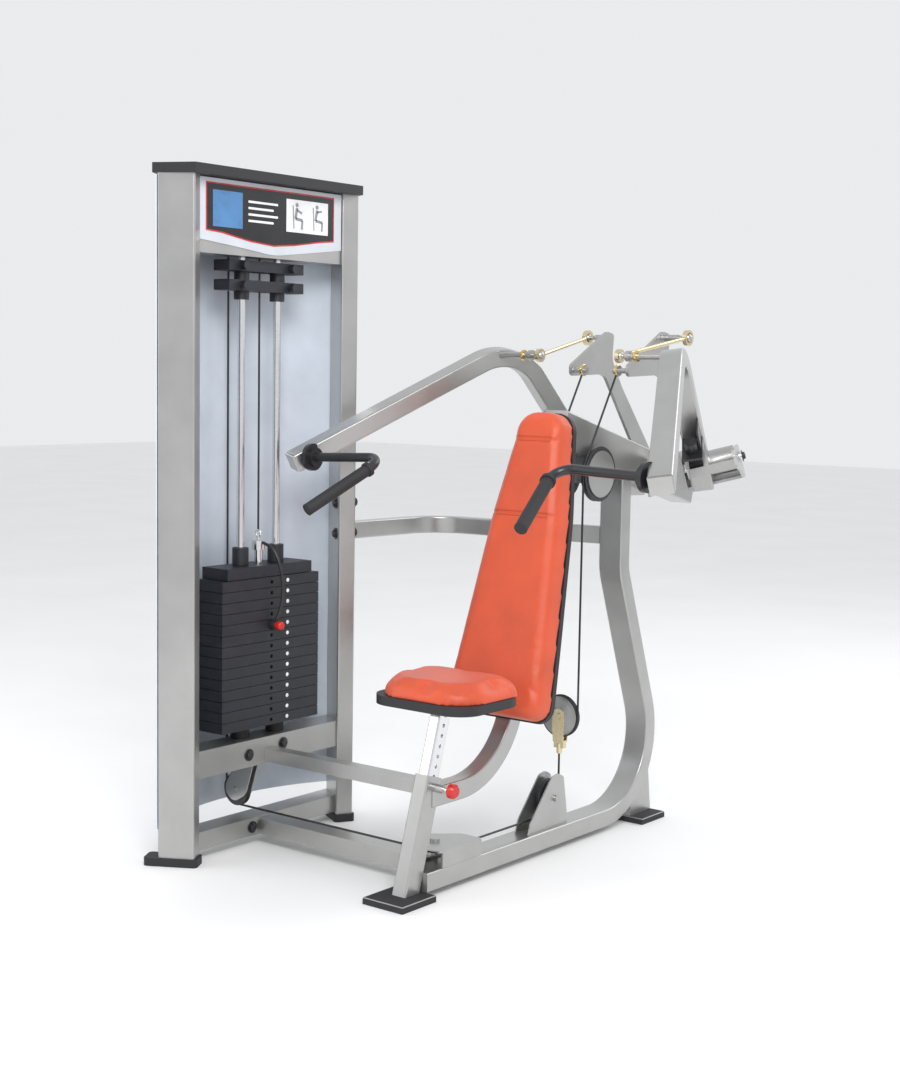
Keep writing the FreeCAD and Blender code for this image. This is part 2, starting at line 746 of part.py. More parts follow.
def guide_rods():
    rods = []
    for i, (x, y) in enumerate(rod_places()):
        rods.append(cylinder(f"guide_rod_{i}", at(x, y, 306), at(x, y, 1645), "rod_radius"))
    return finish(together("guide_rods", rods), "guide_rods")


def ring(label, x, y, low, tall, outer, inner):
    """A plain ring or bush standing on a level."""
    profile = [(inner, 0), (outer, 0), (outer, tall), (inner, tall)]
    return turned(label, profile, placed(at(x, y, low), Z), [0, 2, 2, 0])


def buffers(brackets):
    """Rubber under the stack, round the guide rods, and the two blocks that the arms rest on."""
    pieces = []
    for i, (x, y) in enumerate(rod_places()):
        tall = size("stack_bottom") - 306
        pieces.append(ring(f"stack_buffer_{i}", x, y, 306, tall, 26, size("rod_radius") + 0.4))
    for name, side in SIDES.items():
        place = yoke_point(side, -38, -137, 4)
        face = leg_direction(side)
        up = yoke_axes(side)[0]
        pieces.append(bar(f"rest_block_{name}", place - face * 18, place + face * 18, 40, 24, up))
    return finish(cut("rubber_buffers", together("buffer_pieces", pieces), brackets), "rubber_buffers")


def bore_tools(label, low, high, centre_hole):
    """The tools for the guide rod holes and the stem's hole of a plate or bar."""
    tools = []
    for i, (x, y) in enumerate(rod_places()):
        tools.append(cylinder(f"{label}_bore_{i}", at(x, y, low - 5), at(x, y, high + 5), "rod_hole"))
    middle = at(size("stack_x"), size("stack_y"), low - 5)
    tools.append(cylinder(f"{label}_bore_2", middle, middle + Z * (high - low + 10), centre_hole))
    return tools


def weight_plate(number):
    """One plate of the stack, counted from the bottom, with its selector hole."""
    low = size("stack_bottom") + number * size("plate_pitch")
    high = low + size("plate_tall")
    x = size("stack_x")
    y = size("stack_y")
    label = f"plate_{number}"
    half_x = size("plate_wide") / 2
    half_y = size("plate_long") / 2
    block = box(label, at(x - half_x, y - half_y, low), at(x + half_x, y + half_y, high))
    tools = bore_tools(label, low, high, "stem_hole")
    middle = (low + high) / 2
    tools.append(cylinder(f"{label}_pin_hole", at(x, y, middle), at(x + half_x + 5, y, middle), "pin_hole"))
    return cut(f"{label}_bored", block, together(f"{label}_tools", tools))


def stack_top():
    return size("stack_bottom") + (RESTING_PLATES + LIFTED_PLATES) * size("plate_pitch")


def top_plate():
    """The short plate that crowns the stack, with bushes for the guide rods."""
    low = stack_top()
    high = low + size("top_plate_tall")
    x = size("stack_x")
    y = size("stack_y")
    block = box("crown", at(x - 50, y - 167.5, low), at(x + 50, y + 167.5, high))
    tools = bore_tools("top_plate", low, high, "stem_radius")
    plate = cut("top_plate_bored", block, together("top_plate_tools", tools))
    bushes = [ring(f"bush_{i}", px, py, high, 51, 23, size("rod_hole")) for i, (px, py) in enumerate(rod_places())]
    return joined("top_plate_bushed", [plate] + bushes)


def weight_stack():
    resting = [weight_plate(i) for i in range(RESTING_PLATES)]
    finish(together("resting_plates", resting), "resting_plates")
    lifted = [weight_plate(RESTING_PLATES + i) for i in range(LIFTED_PLATES)]
    finish(together("lifted_plates", lifted + [top_plate()]), "lifted_plates")


def selector_rod():
    """The drilled stem that hangs in the stack, its cap and the eye for the cable."""
    x = size("stack_x")
    y = size("stack_y")
    high = stack_top() + size("top_plate_tall")
    stem = cylinder("stem", at(x, y, size("stack_bottom") + 4), at(x, y, high + 56), "stem_radius")
    cap = cylinder("stem_cap", at(x, y, high + 40), at(x, y, high + 66), "stem_cap_radius")
    neck = cylinder("stem_neck", at(x, y, high + 60), at(x, y, high + 78), "neck_radius")
    eye = doc.addObject("Part::Torus", "stem_eye")
    bind(eye, Radius1="eye_radius", Radius2="eye_wire")
    eye.Placement = placed(at(x, y, high + 86), Y)
    holes = []
    for i in range(RESTING_PLATES + LIFTED_PLATES):
        z = size("stack_bottom") + i * size("plate_pitch") + size("plate_tall") / 2
        holes.append(cylinder(f"stem_hole_{i}", at(x - 20, y, z), at(x + 20, y, z), "pin_hole"))
    body = joined("stem_and_eye", [stem, cap, neck, eye])
    return finish(cut("selector_rod", body, together("stem_tools", holes)), "selector_rod")


def selector_pin():
    z = size("stack_bottom") + RESTING_PLATES * size("plate_pitch") + size("plate_tall") / 2
    start = at(size("stack_x") - 10, size("stack_y"), z)
    pin = size("pin_radius")
    reach = size("plate_wide") / 2 + 10.5
    profile = [
        (0, 0), (pin, 0), (pin, reach), (13, reach), (13, reach + 16), (9, reach + 19), (11, reach + 22),
        (11, reach + 32), (7, reach + 36), (0, reach + 36),
    ]
    return finish(turned("selector_pin", profile, placed(start, X)), "selector_pin")


def lanyard():
    """The limp cord from the stem's cap, out in a bow and down to the pin's head."""
    route = [
        (-674, 82, 854), (-648, 83, 849), (-624, 86, 824), (-609, 90, 782), (-603, 92, 733), (-605, 90, 690),
        (-612, 87, 663), (-620, 83.5, 640.5),
    ]
    points = [at(*place) for place in route]
    radii = limp_radii(points)
    print("lanyard radii", [round(radius, 1) for radius in radii])
    return finish(round_tube("lanyard", points, radii, "cord_radius"), "lanyard")


def increment_weight(number):
    """A small weight bar parked at the top of the rods, on bushes, with two round knobs."""
    low = 1554.0 + number * 53
    x = size("stack_x")
    y = size("stack_y")
    label = f"increment_{number + 1}"
    block = box(f"{label}_bar", at(x - 30, y - 146, low), at(x + 30, y + 146, low + 29))
    bushes = [
        cylinder(f"{label}_bush_{i}", at(px, py, low - 23.5), at(px, py, low), "bush_radius")
        for i, (px, py) in enumerate(rod_places())
    ]
    knobs = [
        cylinder(f"{label}_knob_{i}", at(x + 25, y + way * 95, low + 14.5), at(x + 48, y + way * 95, low + 14.5),
                 "knob_radius")
        for i, way in enumerate((-1, 1))
    ]
    body = joined(f"{label}_solid", [block] + bushes + knobs)
    tools = bore_tools(label, low - 30, low + 29, "increment_hole")
    name = f"increment_weight_{number + 1}"
    return finish(cut(name, body, together(f"{label}_tools", tools)), name)


# ---- arms ----

def mirrored(side, x, y, z):
    return at(side * x, y, z)


def flipped(side, direction):
    return vector(side * direction.x, direction.y, direction.z)


def yoke_axes(side):
    """The pivot line's direction, the level direction to its rear and the direction above it."""
    turn = math.radians(size("pivot_turn"))
    rise = math.radians(size("pivot_rise"))
    along = vector(math.cos(turn) * math.cos(rise), math.sin(turn) * math.cos(rise), math.sin(rise))
    rear = vector(-math.sin(turn), math.cos(turn), 0)
    above = along.cross(rear)
    return flipped(side, along), flipped(side, rear), flipped(side, above)


def yoke_point(side, along, rear, above):
    """A point told by its distances along, behind and above the pivot line."""
    axes = yoke_axes(side)
    pivot = mirrored(side, size("pivot_x"), size("pivot_y"), size("pivot_z"))
    return pivot + axes[0] * along + axes[1] * rear + axes[2] * above


ARM_END = (595.0, 122.0, 1085.0)
ARM_KNEE = (270.0, 710.0, 1426.0)
ARM_FOOT = (188.0, 1040.0, 1024.0)
ARM_BALL = (134.0, 650.0, 1393.0)


def leg_direction(side):
    return (mirrored(side, *ARM_KNEE) - mirrored(side, *ARM_FOOT)).normalize()


def arm_plane(side):
    """The arm's bending plane: along its front leg, square to that in the plane, and across it."""
    front = mirrored(side, *ARM_END)
    knee = mirrored(side, *ARM_KNEE)
    foot = mirrored(side, *ARM_FOOT)
    along = (knee - front).normalize()
    across = along.cross(foot - knee).normalize()
    return front, along, across


def arm(name, side):
    front, along, across = arm_plane(side)
    up = across.cross(along)
    path = []
    for place in (ARM_END, ARM_KNEE, ARM_FOOT):
        reach = mirrored(side, *place) - front
        path.append((reach.dot(along), reach.dot(up)))
    tube = bent_tube(
        f"arm_run_{name}", path, [0, size("arm_bend"), 0], "arm_deep", "arm_wide",
        placed(front, across, along),
    )
    cap = bar(f"arm_cap_{name}", front - along * 6, front, size("arm_wide") - 4, size("arm_deep") - 4, across)
    hub = cylinder(f"arm_hub_{name}", yoke_point(side, -79, 0, 0),
                   yoke_point(side, -79 + size("sleeve_length"), 0, 0), "sleeve_radius")
    foot = mirrored(side, *ARM_FOOT)
    lug_top = foot + leg_direction(side) * 75
    lug_low = foot + leg_direction(side) * 12
    lug_outline = [yoke_point(side, -38, 0, 30), yoke_point(side, -38, -8, -26)]
    lug_1 = bar(f"arm_lug_{name}", lug_low, lug_outline[1], size("arm_wide") - 10, 34, across)
    lug_2 = bar(f"arm_web_{name}", lug_top, lug_outline[0], size("arm_wide") - 10, 34, across)
    x, y, z = ARM_BALL
    peg = cylinder(f"arm_peg_{name}", mirrored(side, 158, y, z), mirrored(side, 305, y, z), "peg_radius")
    collar = cylinder(f"peg_collar_{name}", mirrored(side, 158, y, z), mirrored(side, 170, y, z), "collar_radius")
    neck = cylinder(f"peg_neck_{name}", mirrored(side, x, y, z), mirrored(side, 160, y, z), "neck_wide")
    knob = ball(f"arm_ball_{name}", mirrored(side, x, y, z), "ball_radius")
    body = joined(f"arm_weldment_{name}", [tube, cap, hub, lug_1, lug_2, peg, collar, neck, knob])
    bore = cylinder(f"hub_bore_{name}", yoke_point(side, -90, 0, 0), yoke_point(side, 90, 0, 0), "hub_bore")
    return finish(cut(f"arm_{name}", body, bore), f"arm_{name}")


def bumper(name, side):
    """The stop under the arm's rear leg: an angled plate, a side plate and a rubber-ended cylinder."""
    _, _, across = arm_plane(side)
    foot = mirrored(side, *ARM_FOOT)
    leg = leg_direction(side)
    inward = across.cross(leg)
    if inward.y > 0:
        inward = -inward
    face = foot + leg * 205 + inward * (size("arm_deep") / 2)
    plate = bar(f"bumper_plate_{name}", face, face + inward * 92, 58, 8, across)
    outward = across if across.x * side > 0 else -across
    cheek_foot = foot + leg * 240 + outward * 24 + inward * (size("arm_deep") / 2)
    cheek = bar(f"bumper_cheek_{name}", cheek_foot, cheek_foot + inward * 60, 5, 76, outward)
    post_foot = face + inward * 55 + leg * 3
    post = cylinder(f"bumper_post_{name}", post_foot, post_foot + leg * 34, "bumper_radius")
    return finish(joined(f"bumper_{name}", [plate, cheek, post]), f"bumper_{name}")


HANDLE_BEND = (277.0, 144.0, 1110.0)
HANDLE_TIP = (342.0, -87.0, 980.0)


def handle(name, side, arm_body):
    """The handle bar with its flange against the arm, and the grip on its end."""
    front, along, across = arm_plane(side)
    inward = -across if across.x * side > 0 else across
    root = front + along * 42 + inward * (size("arm_wide") / 2)
    bend = mirrored(side, *HANDLE_BEND)
    tip = mirrored(side, *HANDLE_TIP)
    run = (bend - root).normalize()
    straight = round_tube(f"handle_run_{name}", [root + run * 1.5, bend, tip], [45], "handle_radius")
    flange = cylinder(f"handle_flange_{name}", root + run * 0.5, root + run * 13, "flange_radius")
    ring_piece = cylinder(f"handle_ring_{name}", root + run * 13, root + run * 24, "ring_radius")
    bar_piece = joined(f"handle_solid_{name}", [straight, flange, ring_piece])
    reach = (tip - bend).normalize()
    grip_start = bend + reach * 62
    grip_end = tip + reach * 6
    grip_body = cylinder(f"grip_body_{name}", grip_start, grip_end, "grip_radius")
    collar = cylinder(f"grip_collar_{name}", grip_start - reach * 3, grip_start + reach * 8, "grip_flange")
    grip_solid = joined(f"grip_solid_{name}", [grip_body, collar])
    core = cylinder(f"grip_core_{name}", grip_start - reach * 10, tip, "handle_radius")
    finish(cut(f"handle_{name}", bar_piece, arm_body), f"handle_{name}")
    return finish(cut(f"grip_{name}", grip_solid, core), f"grip_{name}")


# ---- pivot brackets ----

def pivot_bracket(name, side):
    """A box out from the head beam, two plates on to the outer plate, and the arm of the rest block."""
    along, rear, above = yoke_axes(side)
    box_start = yoke_point(side, -205, 0, 0)
    trunk = bar(f"yoke_trunk_{name}", box_start, yoke_point(side, -86, 0, 0), 76, 110, rear)
    bottom = bar(f"yoke_bottom_{name}", yoke_point(side, -90, 21, -59), yoke_point(side, 76, 21, -59), 52, 8,
                 rear)
    back = bar(f"yoke_back_{name}", yoke_point(side, -90, 43, -14), yoke_point(side, 76, 43, -14), 8, 82, rear)
    place = placed(yoke_point(side, 72, 0, 0), along, rear)
    flip = side
    outline = [(-172, 8), (-160, 34), (-60, 34), (30, 36), (47, 20), (47, -63), (-5, -63), (-60, -40), (-165, -22)]
    points = [(u, v * flip) for u, v in outline]
    plate = flat_plate(f"yoke_plate_{name}", points, "yoke_plate", place, [12, 12, 40, 14, 14, 14, 30, 60, 12])
    rest = bar(f"yoke_rest_{name}", yoke_point(side, 74, -157, -12), yoke_point(side, -56, -157, -12), 16, 26,
               rear)
    whole = joined(f"yoke_{name}", [trunk, bottom, back, plate, rest])
    return whole


def pivot_brackets(beam, shafts):
    """Both pivot brackets, cut where the head beam and the shafts pass."""
    yokes = [pivot_bracket(name, side) for name, side in SIDES.items()]
    cut_yokes = []
    for yoke, shaft in zip(yokes, shafts):
        without_beam = cut(f"{yoke.Name}_off_beam", yoke, beam)
        cut_yokes.append(cut(f"{yoke.Name}_bored", without_beam, shaft))
    return finish(together("pivot_brackets", cut_yokes), "pivot_brackets")


def rocker_pivot(x):
    return at(x, size("rocker_y"), size("rocker_z"))


def pivot_shafts():
    shafts = []
    for name, side in SIDES.items():
        start = yoke_point(side, -96, 0, 0)
        shafts.append(cylinder(f"arm_shaft_{name}", start, yoke_point(side, 86, 0, 0), "shaft_radius"))
    axle = cylinder("rocker_axle", rocker_pivot(-108), rocker_pivot(108), "axle_radius")
    spacers = []
    for name, side in SIDES.items():
        inner = side * size("tube_wide") / 2
        outer = side * (size("rocker_x") - size("rocker_thick") / 2 - 0.4)
        spacers.append(cylinder(f"axle_spacer_{name}", rocker_pivot(inner), rocker_pivot(outer), "spacer_radius"))
    whole_axle = joined("rocker_axle_spaced", [axle] + spacers)
    finish(together("pivot_shafts", shafts + [whole_axle]), "pivot_shafts")
    return shafts


# ---- rockers and links ----

LINK_PEG = (952.0, 1450.0)
CABLE_PEG = (762.0, 1353.0)


def rocker(name, side):
    """The angled plate on the rear axle: one peg outwards for the link, one inwards for the cable."""
    middle = side * size("rocker_x")
    points = [
        (750, 1368), (934, 1468), (972, 1462), (964, 1385), (1025, 1302), (1153, 1158), (1246, 1052),
        (1226, 1004), (1182, 1012), (1096, 1128), (932, 1334), (905, 1342), (750, 1336),
    ]
    radii = [14, 12, 12, 60, 200, 0, 26, 26, 26, 0, 30, 30, 14]
    hole = [(size("rocker_y"), size("rocker_z"), size("axle_radius") + 0.05)]
    plate = flat_plate(
        f"rocker_plate_{name}", points, "rocker_thick", side_view(middle - size("rocker_thick") / 2), radii,
        hole,
    )
    peg_y, peg_z = LINK_PEG
    out_peg = cylinder(f"link_peg_{name}", at(middle, peg_y, peg_z), at(side * 142, peg_y, peg_z), "peg_radius")
    neck = cylinder(f"link_neck_{name}", at(side * 140, peg_y, peg_z), at(side * 172, peg_y, peg_z), "neck_wide")
    knob = ball(f"link_ball_{name}", at(side * 172, peg_y, peg_z), "ball_radius")
    cable_y, cable_z = CABLE_PEG
    in_peg = cylinder(f"cable_peg_{name}", at(middle, cable_y, cable_z), at(side * 44, cable_y, cable_z),
                      "cable_peg_radius")
    eye = cylinder(f"cable_eye_{name}", at(side * 64, cable_y, cable_z), at(side * 52, cable_y, cable_z),
                   "collar_radius")
    return finish(joined(f"rocker_{name}", [plate, out_peg, neck, knob, in_peg, eye]), f"rocker_{name}")


def link(name, side):
    """The rod between the arm's ball and the rocker's ball, with a socket ring at each end."""
    start = mirrored(side, *ARM_BALL)
    end = mirrored(side, 172, *LINK_PEG)
    run = (end - start).normalize()
    rod = cylinder(f"link_rod_{name}", start + run * 16, end - run * 19, "link_rod")
    rings = []
    for key, centre in (("front", start), ("rear", end)):
        disc = cylinder(f"link_{key}_disc_{name}", centre - X * 6, centre + X * 6, f"{key}_ring")
        socket = ball(f"link_{key}_socket_{name}", centre, f"{key}_socket")
        rings.append(cut(f"link_{key}_ring_{name}", disc, socket))
    return finish(joined(f"link_{name}", [rod] + rings), f"link_{name}")


# ---- pulleys and cables ----

def tangent_corner(start, centre_y, centre_z, radius):
    """Where a slanted cable's line meets the vertical line that touches a pulley's front."""
    dy = start[0] - centre_y
    dz = start[1] - centre_z
    distance = math.hypot(dy, dz)
    angle = math.atan2(dz, dy) + math.acos(radius / distance)
    touch = (centre_y + radius * math.cos(angle), centre_z + radius * math.sin(angle))
    front = centre_y - radius
    share = (front - start[0]) / (touch[0] - start[0])
    return front, start[1] + (touch[1] - start[1]) * share


def rocker_cable(name, side):
    """The cable from a rocker down to the front of its upper pulley."""
    radius = size("upper_pulley_radius")
    corner_y, corner_z = tangent_corner(CABLE_PEG, UPPER_PULLEY[0], UPPER_PULLEY[1], radius)
    x = side * size("strand_x")
    peg = at(x, *CABLE_PEG)
    corner = at(x, corner_y, corner_z)
    start = peg + (corner - peg).normalize() * (size("collar_radius") + 0.2)
    points = [start, corner, at(x, corner_y, UPPER_PULLEY[1] - 2)]
    return finish(round_tube(f"rocker_cable_{name}", points, [radius], "cable_radius"), f"rocker_cable_{name}")


UPPER_PULLEY = (675.0, 1063.0)
BLOCK_PULLEY = (600.0, 375.0)
CABLE_LEVEL = 100.0
BASE_RUN_Y = 597.0
CROSS_RUN_Y = 45.0
TOWER_RUN_X = -777.0
TOP_PULLEY_Z = 1750.0


def block_cable():
    """Both vertical strands and their loop under the pulley of the block."""
    x = size("strand_x")
    y = BLOCK_PULLEY[0]
    top = UPPER_PULLEY[1] - 2
    low = BLOCK_PULLEY[1] - size("strand_x")
    points = [at(-x, y, top), at(-x, y, low), at(x, y, low), at(x, y, top)]
    radius = size("block_pulley_radius") - 0.01
    return finish(round_tube("block_cable", points, [radius, radius], "cable_radius"), "block_cable")


def lower_cable():
    start = at(0, BASE_RUN_Y, BLOCK_BOTTOM)
    end = at(0, BASE_RUN_Y, CABLE_LEVEL + size("base_pulley_radius"))
    return finish(cylinder("lower_cable", start, end, "cable_radius"), "lower_cable")


def main_cable():
    """The cable's steady part: under the base pulley, round the corner, under and over the tower's two."""
    top_reach = math.hypot(size("stack_x") - TOWER_RUN_X, size("stack_y") - CROSS_RUN_Y) / 2
    top = TOP_PULLEY_Z + top_reach
    points = [
        at(0, BASE_RUN_Y, CABLE_LEVEL + size("base_pulley_radius") - 0.2),
        at(0, BASE_RUN_Y, CABLE_LEVEL),
        at(0, CROSS_RUN_Y, CABLE_LEVEL),
        at(TOWER_RUN_X, CROSS_RUN_Y, CABLE_LEVEL),
        at(TOWER_RUN_X, CROSS_RUN_Y, top),
        at(size("stack_x"), size("stack_y"), top),
        at(size("stack_x"), size("stack_y"), TOP_PULLEY_Z - 0.2),
    ]
    radii = [
        size("base_pulley_radius") - 0.3, size("corner_pulley_radius"), size("tower_pulley_radius"),
        top_reach - 0.05, top_reach - 0.05,
    ]
    return finish(round_tube("main_cable", points, radii, "cable_radius"), "main_cable")


def stack_cable():
    x = size("stack_x")
    y = size("stack_y")
    low = stack_top() + size("top_plate_tall") + 86 + size("eye_radius") + size("eye_wire")
    return finish(cylinder("stack_cable", at(x, y, low), at(x, y, TOP_PULLEY_Z - 0.4), "cable_radius"),
                  "stack_cable")


def top_pulley_place():
    """Centre and axis of the top pulley, which lies in the plane of its two strands."""
    run = vector(size("stack_x") - TOWER_RUN_X, size("stack_y") - CROSS_RUN_Y, 0)
    centre = at((size("stack_x") + TOWER_RUN_X) / 2, (size("stack_y") + CROSS_RUN_Y) / 2, TOP_PULLEY_Z)
    return centre, run.normalize(), Z.cross(run).normalize()


BLOCK_BOTTOM = 268.0


def pulley_block():
    """The rising block: two cheeks, the pulley's axle, and the screw that holds the lower cable."""
    y, z = BLOCK_PULLEY
    thick = size("pulley_thick") / 2 + 1
    points = [(-20, z + 14), (-20, z - 40), (-16, z - 78), (16, z - 78), (20, z - 40), (20, z + 14), (0, z + 24)]
    cheeks = [
        flat_plate(f"block_cheek_{i}", points, "cheek_thick", front_view(level), [8] * 6 + [16])
        for i, level in enumerate((y - thick, y + thick + size("cheek_thick")))
    ]
    axle = cylinder("block_axle", at(0, y - thick - 8, z), at(0, y + thick + 8, z), "bolt_radius")
    base = box("block_base", at(-16, y - thick, z - 92), at(16, y + thick, z - 70))
    screw = cylinder("block_screw", at(0, BASE_RUN_Y, BLOCK_BOTTOM), at(0, BASE_RUN_Y, z - 80), "screw_radius")
    return finish(joined("pulley_block", cheeks + [axle, base, screw]), "pulley_block")


def upper_hanger(beam):
    """The block under the head beam, the axle through it and the two cover discs."""
    y, z = UPPER_PULLEY
    body = box("hanger_block", at(-38, 645, 1036), at(38, 705, 1110))
    reach = size("strand_x") + size("pulley_thick") / 2
    axle = cylinder("hanger_axle", at(-reach - 6, y, z), at(reach + 6, y, z), "bolt_radius")
    discs = []
    for name, side in SIDES.items():
        inner = side * (reach + 1.5)
        discs.append(cylinder(f"hanger_disc_{name}", at(inner, y, z), at(inner + side * 3, y, z), "disc_radius"))
    whole = joined("hanger_solid", [body, axle] + discs)
    return finish(cut("upper_hanger", whole, beam), "upper_hanger")


def base_bracket():
    """Two arched plates on the base tube with the base pulley between them, and its axle."""
    z = CABLE_LEVEL + size("base_pulley_radius")
    y = BASE_RUN_Y - size("base_pulley_radius")
    low = size("base_bottom") + size("tube_deep")
    points = [(420, low), (608, low), (608, 96), (588, 206), (560, 219), (530, 214), (430, 100)]
    plates = []
    for name, x in (("right", -20.0 - size("cheek_thick")), ("left", 20.0)):
        plates.append(flat_plate(f"base_cheek_{name}", points, "cheek_thick", side_view(x),
                                 [0, 0, 16, 16, 24, 24, 50]))
    axle = cylinder("base_axle", at(-32, y, z), at(32, y, z), "bolt_radius")
    spacers = [
        cylinder(f"base_spacer_{name}", at(side * 20, y, z), at(side * 8, y, z), "small_spacer")
        for name, side in SIDES.items()
    ]
    return finish(joined("base_pulley_bracket", plates + [axle] + spacers), "base_pulley_bracket")


def corner_housing():
    """The low cover over the corner pulley, with its bolt."""
    low = size("base_bottom") + size("tube_deep")
    roof = CABLE_LEVEL + 9
    points = [(-96, 24), (-60, 14), (38, 14), (38, 190), (-30, 190), (-96, 130)]
    top = flat_plate("housing_roof", points, "cheek_thick", plan_view(roof), [20, 20, 12, 12, 30, 30])
    wall = box("housing_wall", at(33, 20, low), at(38, 186, roof))
    outer = box("housing_outer", at(-96, 62, 76.1), at(-91, 116, roof))
    radius = size("corner_pulley_radius")
    centre = at(-radius, CROSS_RUN_Y + radius, 0)
    bolt = cylinder("corner_axle", centre + Z * 76.1, centre + Z * (roof + 10), "bolt_radius")
    head = cylinder("corner_bolt_head", centre + Z * (roof + 4), centre + Z * (roof + 12), "head_radius")
    return finish(joined("corner_housing", [top, wall, outer, bolt, head]), "corner_housing")


def tower_pulley_plates():
    """Plates that hang the tower pulley under the middle crossbar and stand the top pulley on the upper one."""
    pieces = []
    radius = size("tower_pulley_radius")
    x = TOWER_RUN_X + radius
    z = CABLE_LEVEL + radius
    half = size("pulley_thick") / 2 + 1.5
    thick = size("cheek_thick")
    points = [(-660, 230), (-728, 230), (-768, z + 10), (-768, z - 14), (-735, z - 36), (-690, z - 10)]
    for i, level in enumerate((CROSS_RUN_Y - half, CROSS_RUN_Y + half + thick)):
        pieces.append(flat_plate(f"tower_cheek_{i}", points, "cheek_thick", front_view(level),
                                 [0, 0, 20, 20, 26, 26]))
    pieces.append(cylinder("tower_axle", at(x, CROSS_RUN_Y - half - 10, z), at(x, CROSS_RUN_Y + half + 10, z),
                           "bolt_radius"))
    lower = joined("tower_hanger", pieces)
    centre, run, axis = top_pulley_place()
    upper = []
    outline = [(14, -29), (72, -29), (72, -14), (18, 16), (-16, 16), (-18, -10)]
    for i, level in enumerate((-half - thick, half)):
        place = placed(centre + axis * level, axis, run)
        way = 1 if place.Rotation.multVec(Y).z > 0 else -1
        upper.append(flat_plate(f"top_cheek_{i}", [(u, way * v) for u, v in outline], "cheek_thick", place,
                                [0, 0, 8, 16, 14, 14]))
    upper.append(cylinder("top_axle", centre - axis * (half + 10), centre + axis * (half + 10), "bolt_radius"))
    return finish(together("tower_pulley_plates", [lower, joined("top_stand", upper)]), "tower_pulley_plates")


def pulleys():
    for name, side in SIDES.items():
        centre = at(side * size("strand_x"), *UPPER_PULLEY)
        pulley(f"upper_pulley_{name}", centre, X, "upper_pulley_radius")
    pulley("block_pulley", at(0, *BLOCK_PULLEY), Y, "block_pulley_radius")
    base = size("base_pulley_radius")
    pulley("base_pulley", at(0, BASE_RUN_Y - base, CABLE_LEVEL + base), X, "base_pulley_radius")
    corner = size("corner_pulley_radius")
    pulley("corner_pulley", at(-corner, CROSS_RUN_Y + corner, CABLE_LEVEL), Z, "corner_pulley_radius")
    tower = size("tower_pulley_radius")
    pulley("tower_pulley", at(TOWER_RUN_X + tower, CROSS_RUN_Y, CABLE_LEVEL + tower), Y, "tower_pulley_radius")
    centre, _, axis = top_pulley_place()
    pulley("top_pulley", centre, axis, "top_pulley_radius")


def frame_bolts():
    """The bolts that join the tower, the arms' brackets and the back rest, all of one pattern."""
    inner = column_axes("rear")[1]
    wide = column_axes("rear")[0]
    face = column_centre("rear") + inner * size("column_deep") / 2
    back = column_centre("rear") - inner * size("column_deep") / 2
    heads = []
    for i, z in enumerate((862, 952)):
        heads.append((f"brace_bolt_{i}", face + Z * z - wide * 20, inner))
        heads.append((f"brace_nut_{i}", back + Z * (z + 4) - wide * 32, -inner))
    for i, (y, z) in enumerate(((-3, 265), (134, 277))):
        heads.append((f"mid_bolt_{i}", at(-640, y, z), X))
    for i, y in enumerate((21, 136)):
        heads.append((f"low_bolt_{i}", at(-650, y, 52), X))
    for name, side in SIDES.items():
        along, _, _ = yoke_axes(side)
        heads.append((f"pivot_bolt_{name}", yoke_point(side, 86, 0, 0), along))
        heads.append((f"axle_bolt_{name}", rocker_pivot(side * 108), X * side))
    pieces = [hex_head(label, place, direction) for label, place, direction in heads]
    return finish(together("frame_bolts", pieces), "frame_bolts")


def hex_head(label, place, direction):
    """A bolt head on its washer, standing on a face."""
    profile = [(0, 0), (17, 0), (17, 2.5), (11, 2.5), (11, 8), (8, 10), (0, 10)]
    return turned(label, profile, placed(place, direction))


# ---- the whole machine ----

def build_frame():
    beam = head_beam()
    sleeve = post_sleeve()
    upright = main_tube(beam, sleeve)
    feet()
    back_support(sleeve, back_rest())
    cross_tubes()
    rear = column("rear")
    finish(together("tower_columns", [column("front"), rear]), "tower_columns")
    side_brace([rear, frame_bolts(), upright])
    crossbars()
    shroud()
    tower_cap()
    sign_plate()
    guide_rods()
    shafts = pivot_shafts()
    buffers(pivot_brackets(beam, shafts))
    upper_hanger(beam)
    base_bracket()
    corner_housing()
    tower_pulley_plates()


def build_moving():
    seat()
    seat_pin()
    weight_stack()
    selector_rod()
    selector_pin()
    lanyard()
    for number in range(2):
        increment_weight(number)
    for name, side in SIDES.items():
        arm_body = arm(name, side)
        bumper(name, side)
        handle(name, side, arm_body)
        rocker(name, side)
        link(name, side)
    pulley_block()
    pulleys()


def build_cables():
    for name, side in SIDES.items():
        rocker_cable(name, side)
    block_cable()
    lower_cable()
    main_cable()
    stack_cable()


def export_nodes():
    """Checks every object, then writes one file per node."""
    for thing in doc.Objects:
        if "Invalid" in thing.State or "Error" in thing.State:
            raise ValueError(f"{thing.Label} failed: {thing.State}")
    labels = [node.Label for node in nodes]
    if len(set(labels)) != len(labels) or len(labels) > 60:
        raise ValueError(f"{len(labels)} nodes, or one label twice")
    bad = [n.Label for n in nodes if n.Shape.isNull() or not n.Shape.isValid() or n.Shape.Volume < 1]
    if bad:
        raise ValueError(f"no valid solid: {bad}")
    os.makedirs("parts", exist_ok=True)
    for node in nodes:
        node.Shape.exportStep(f"parts/{node.Label}.step")


build_frame()
build_moving()
build_cables()
doc.recompute()
export_nodes()
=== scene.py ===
import json
import math

import bmesh
import bpy
import numpy as np
from mathutils import Matrix, Vector

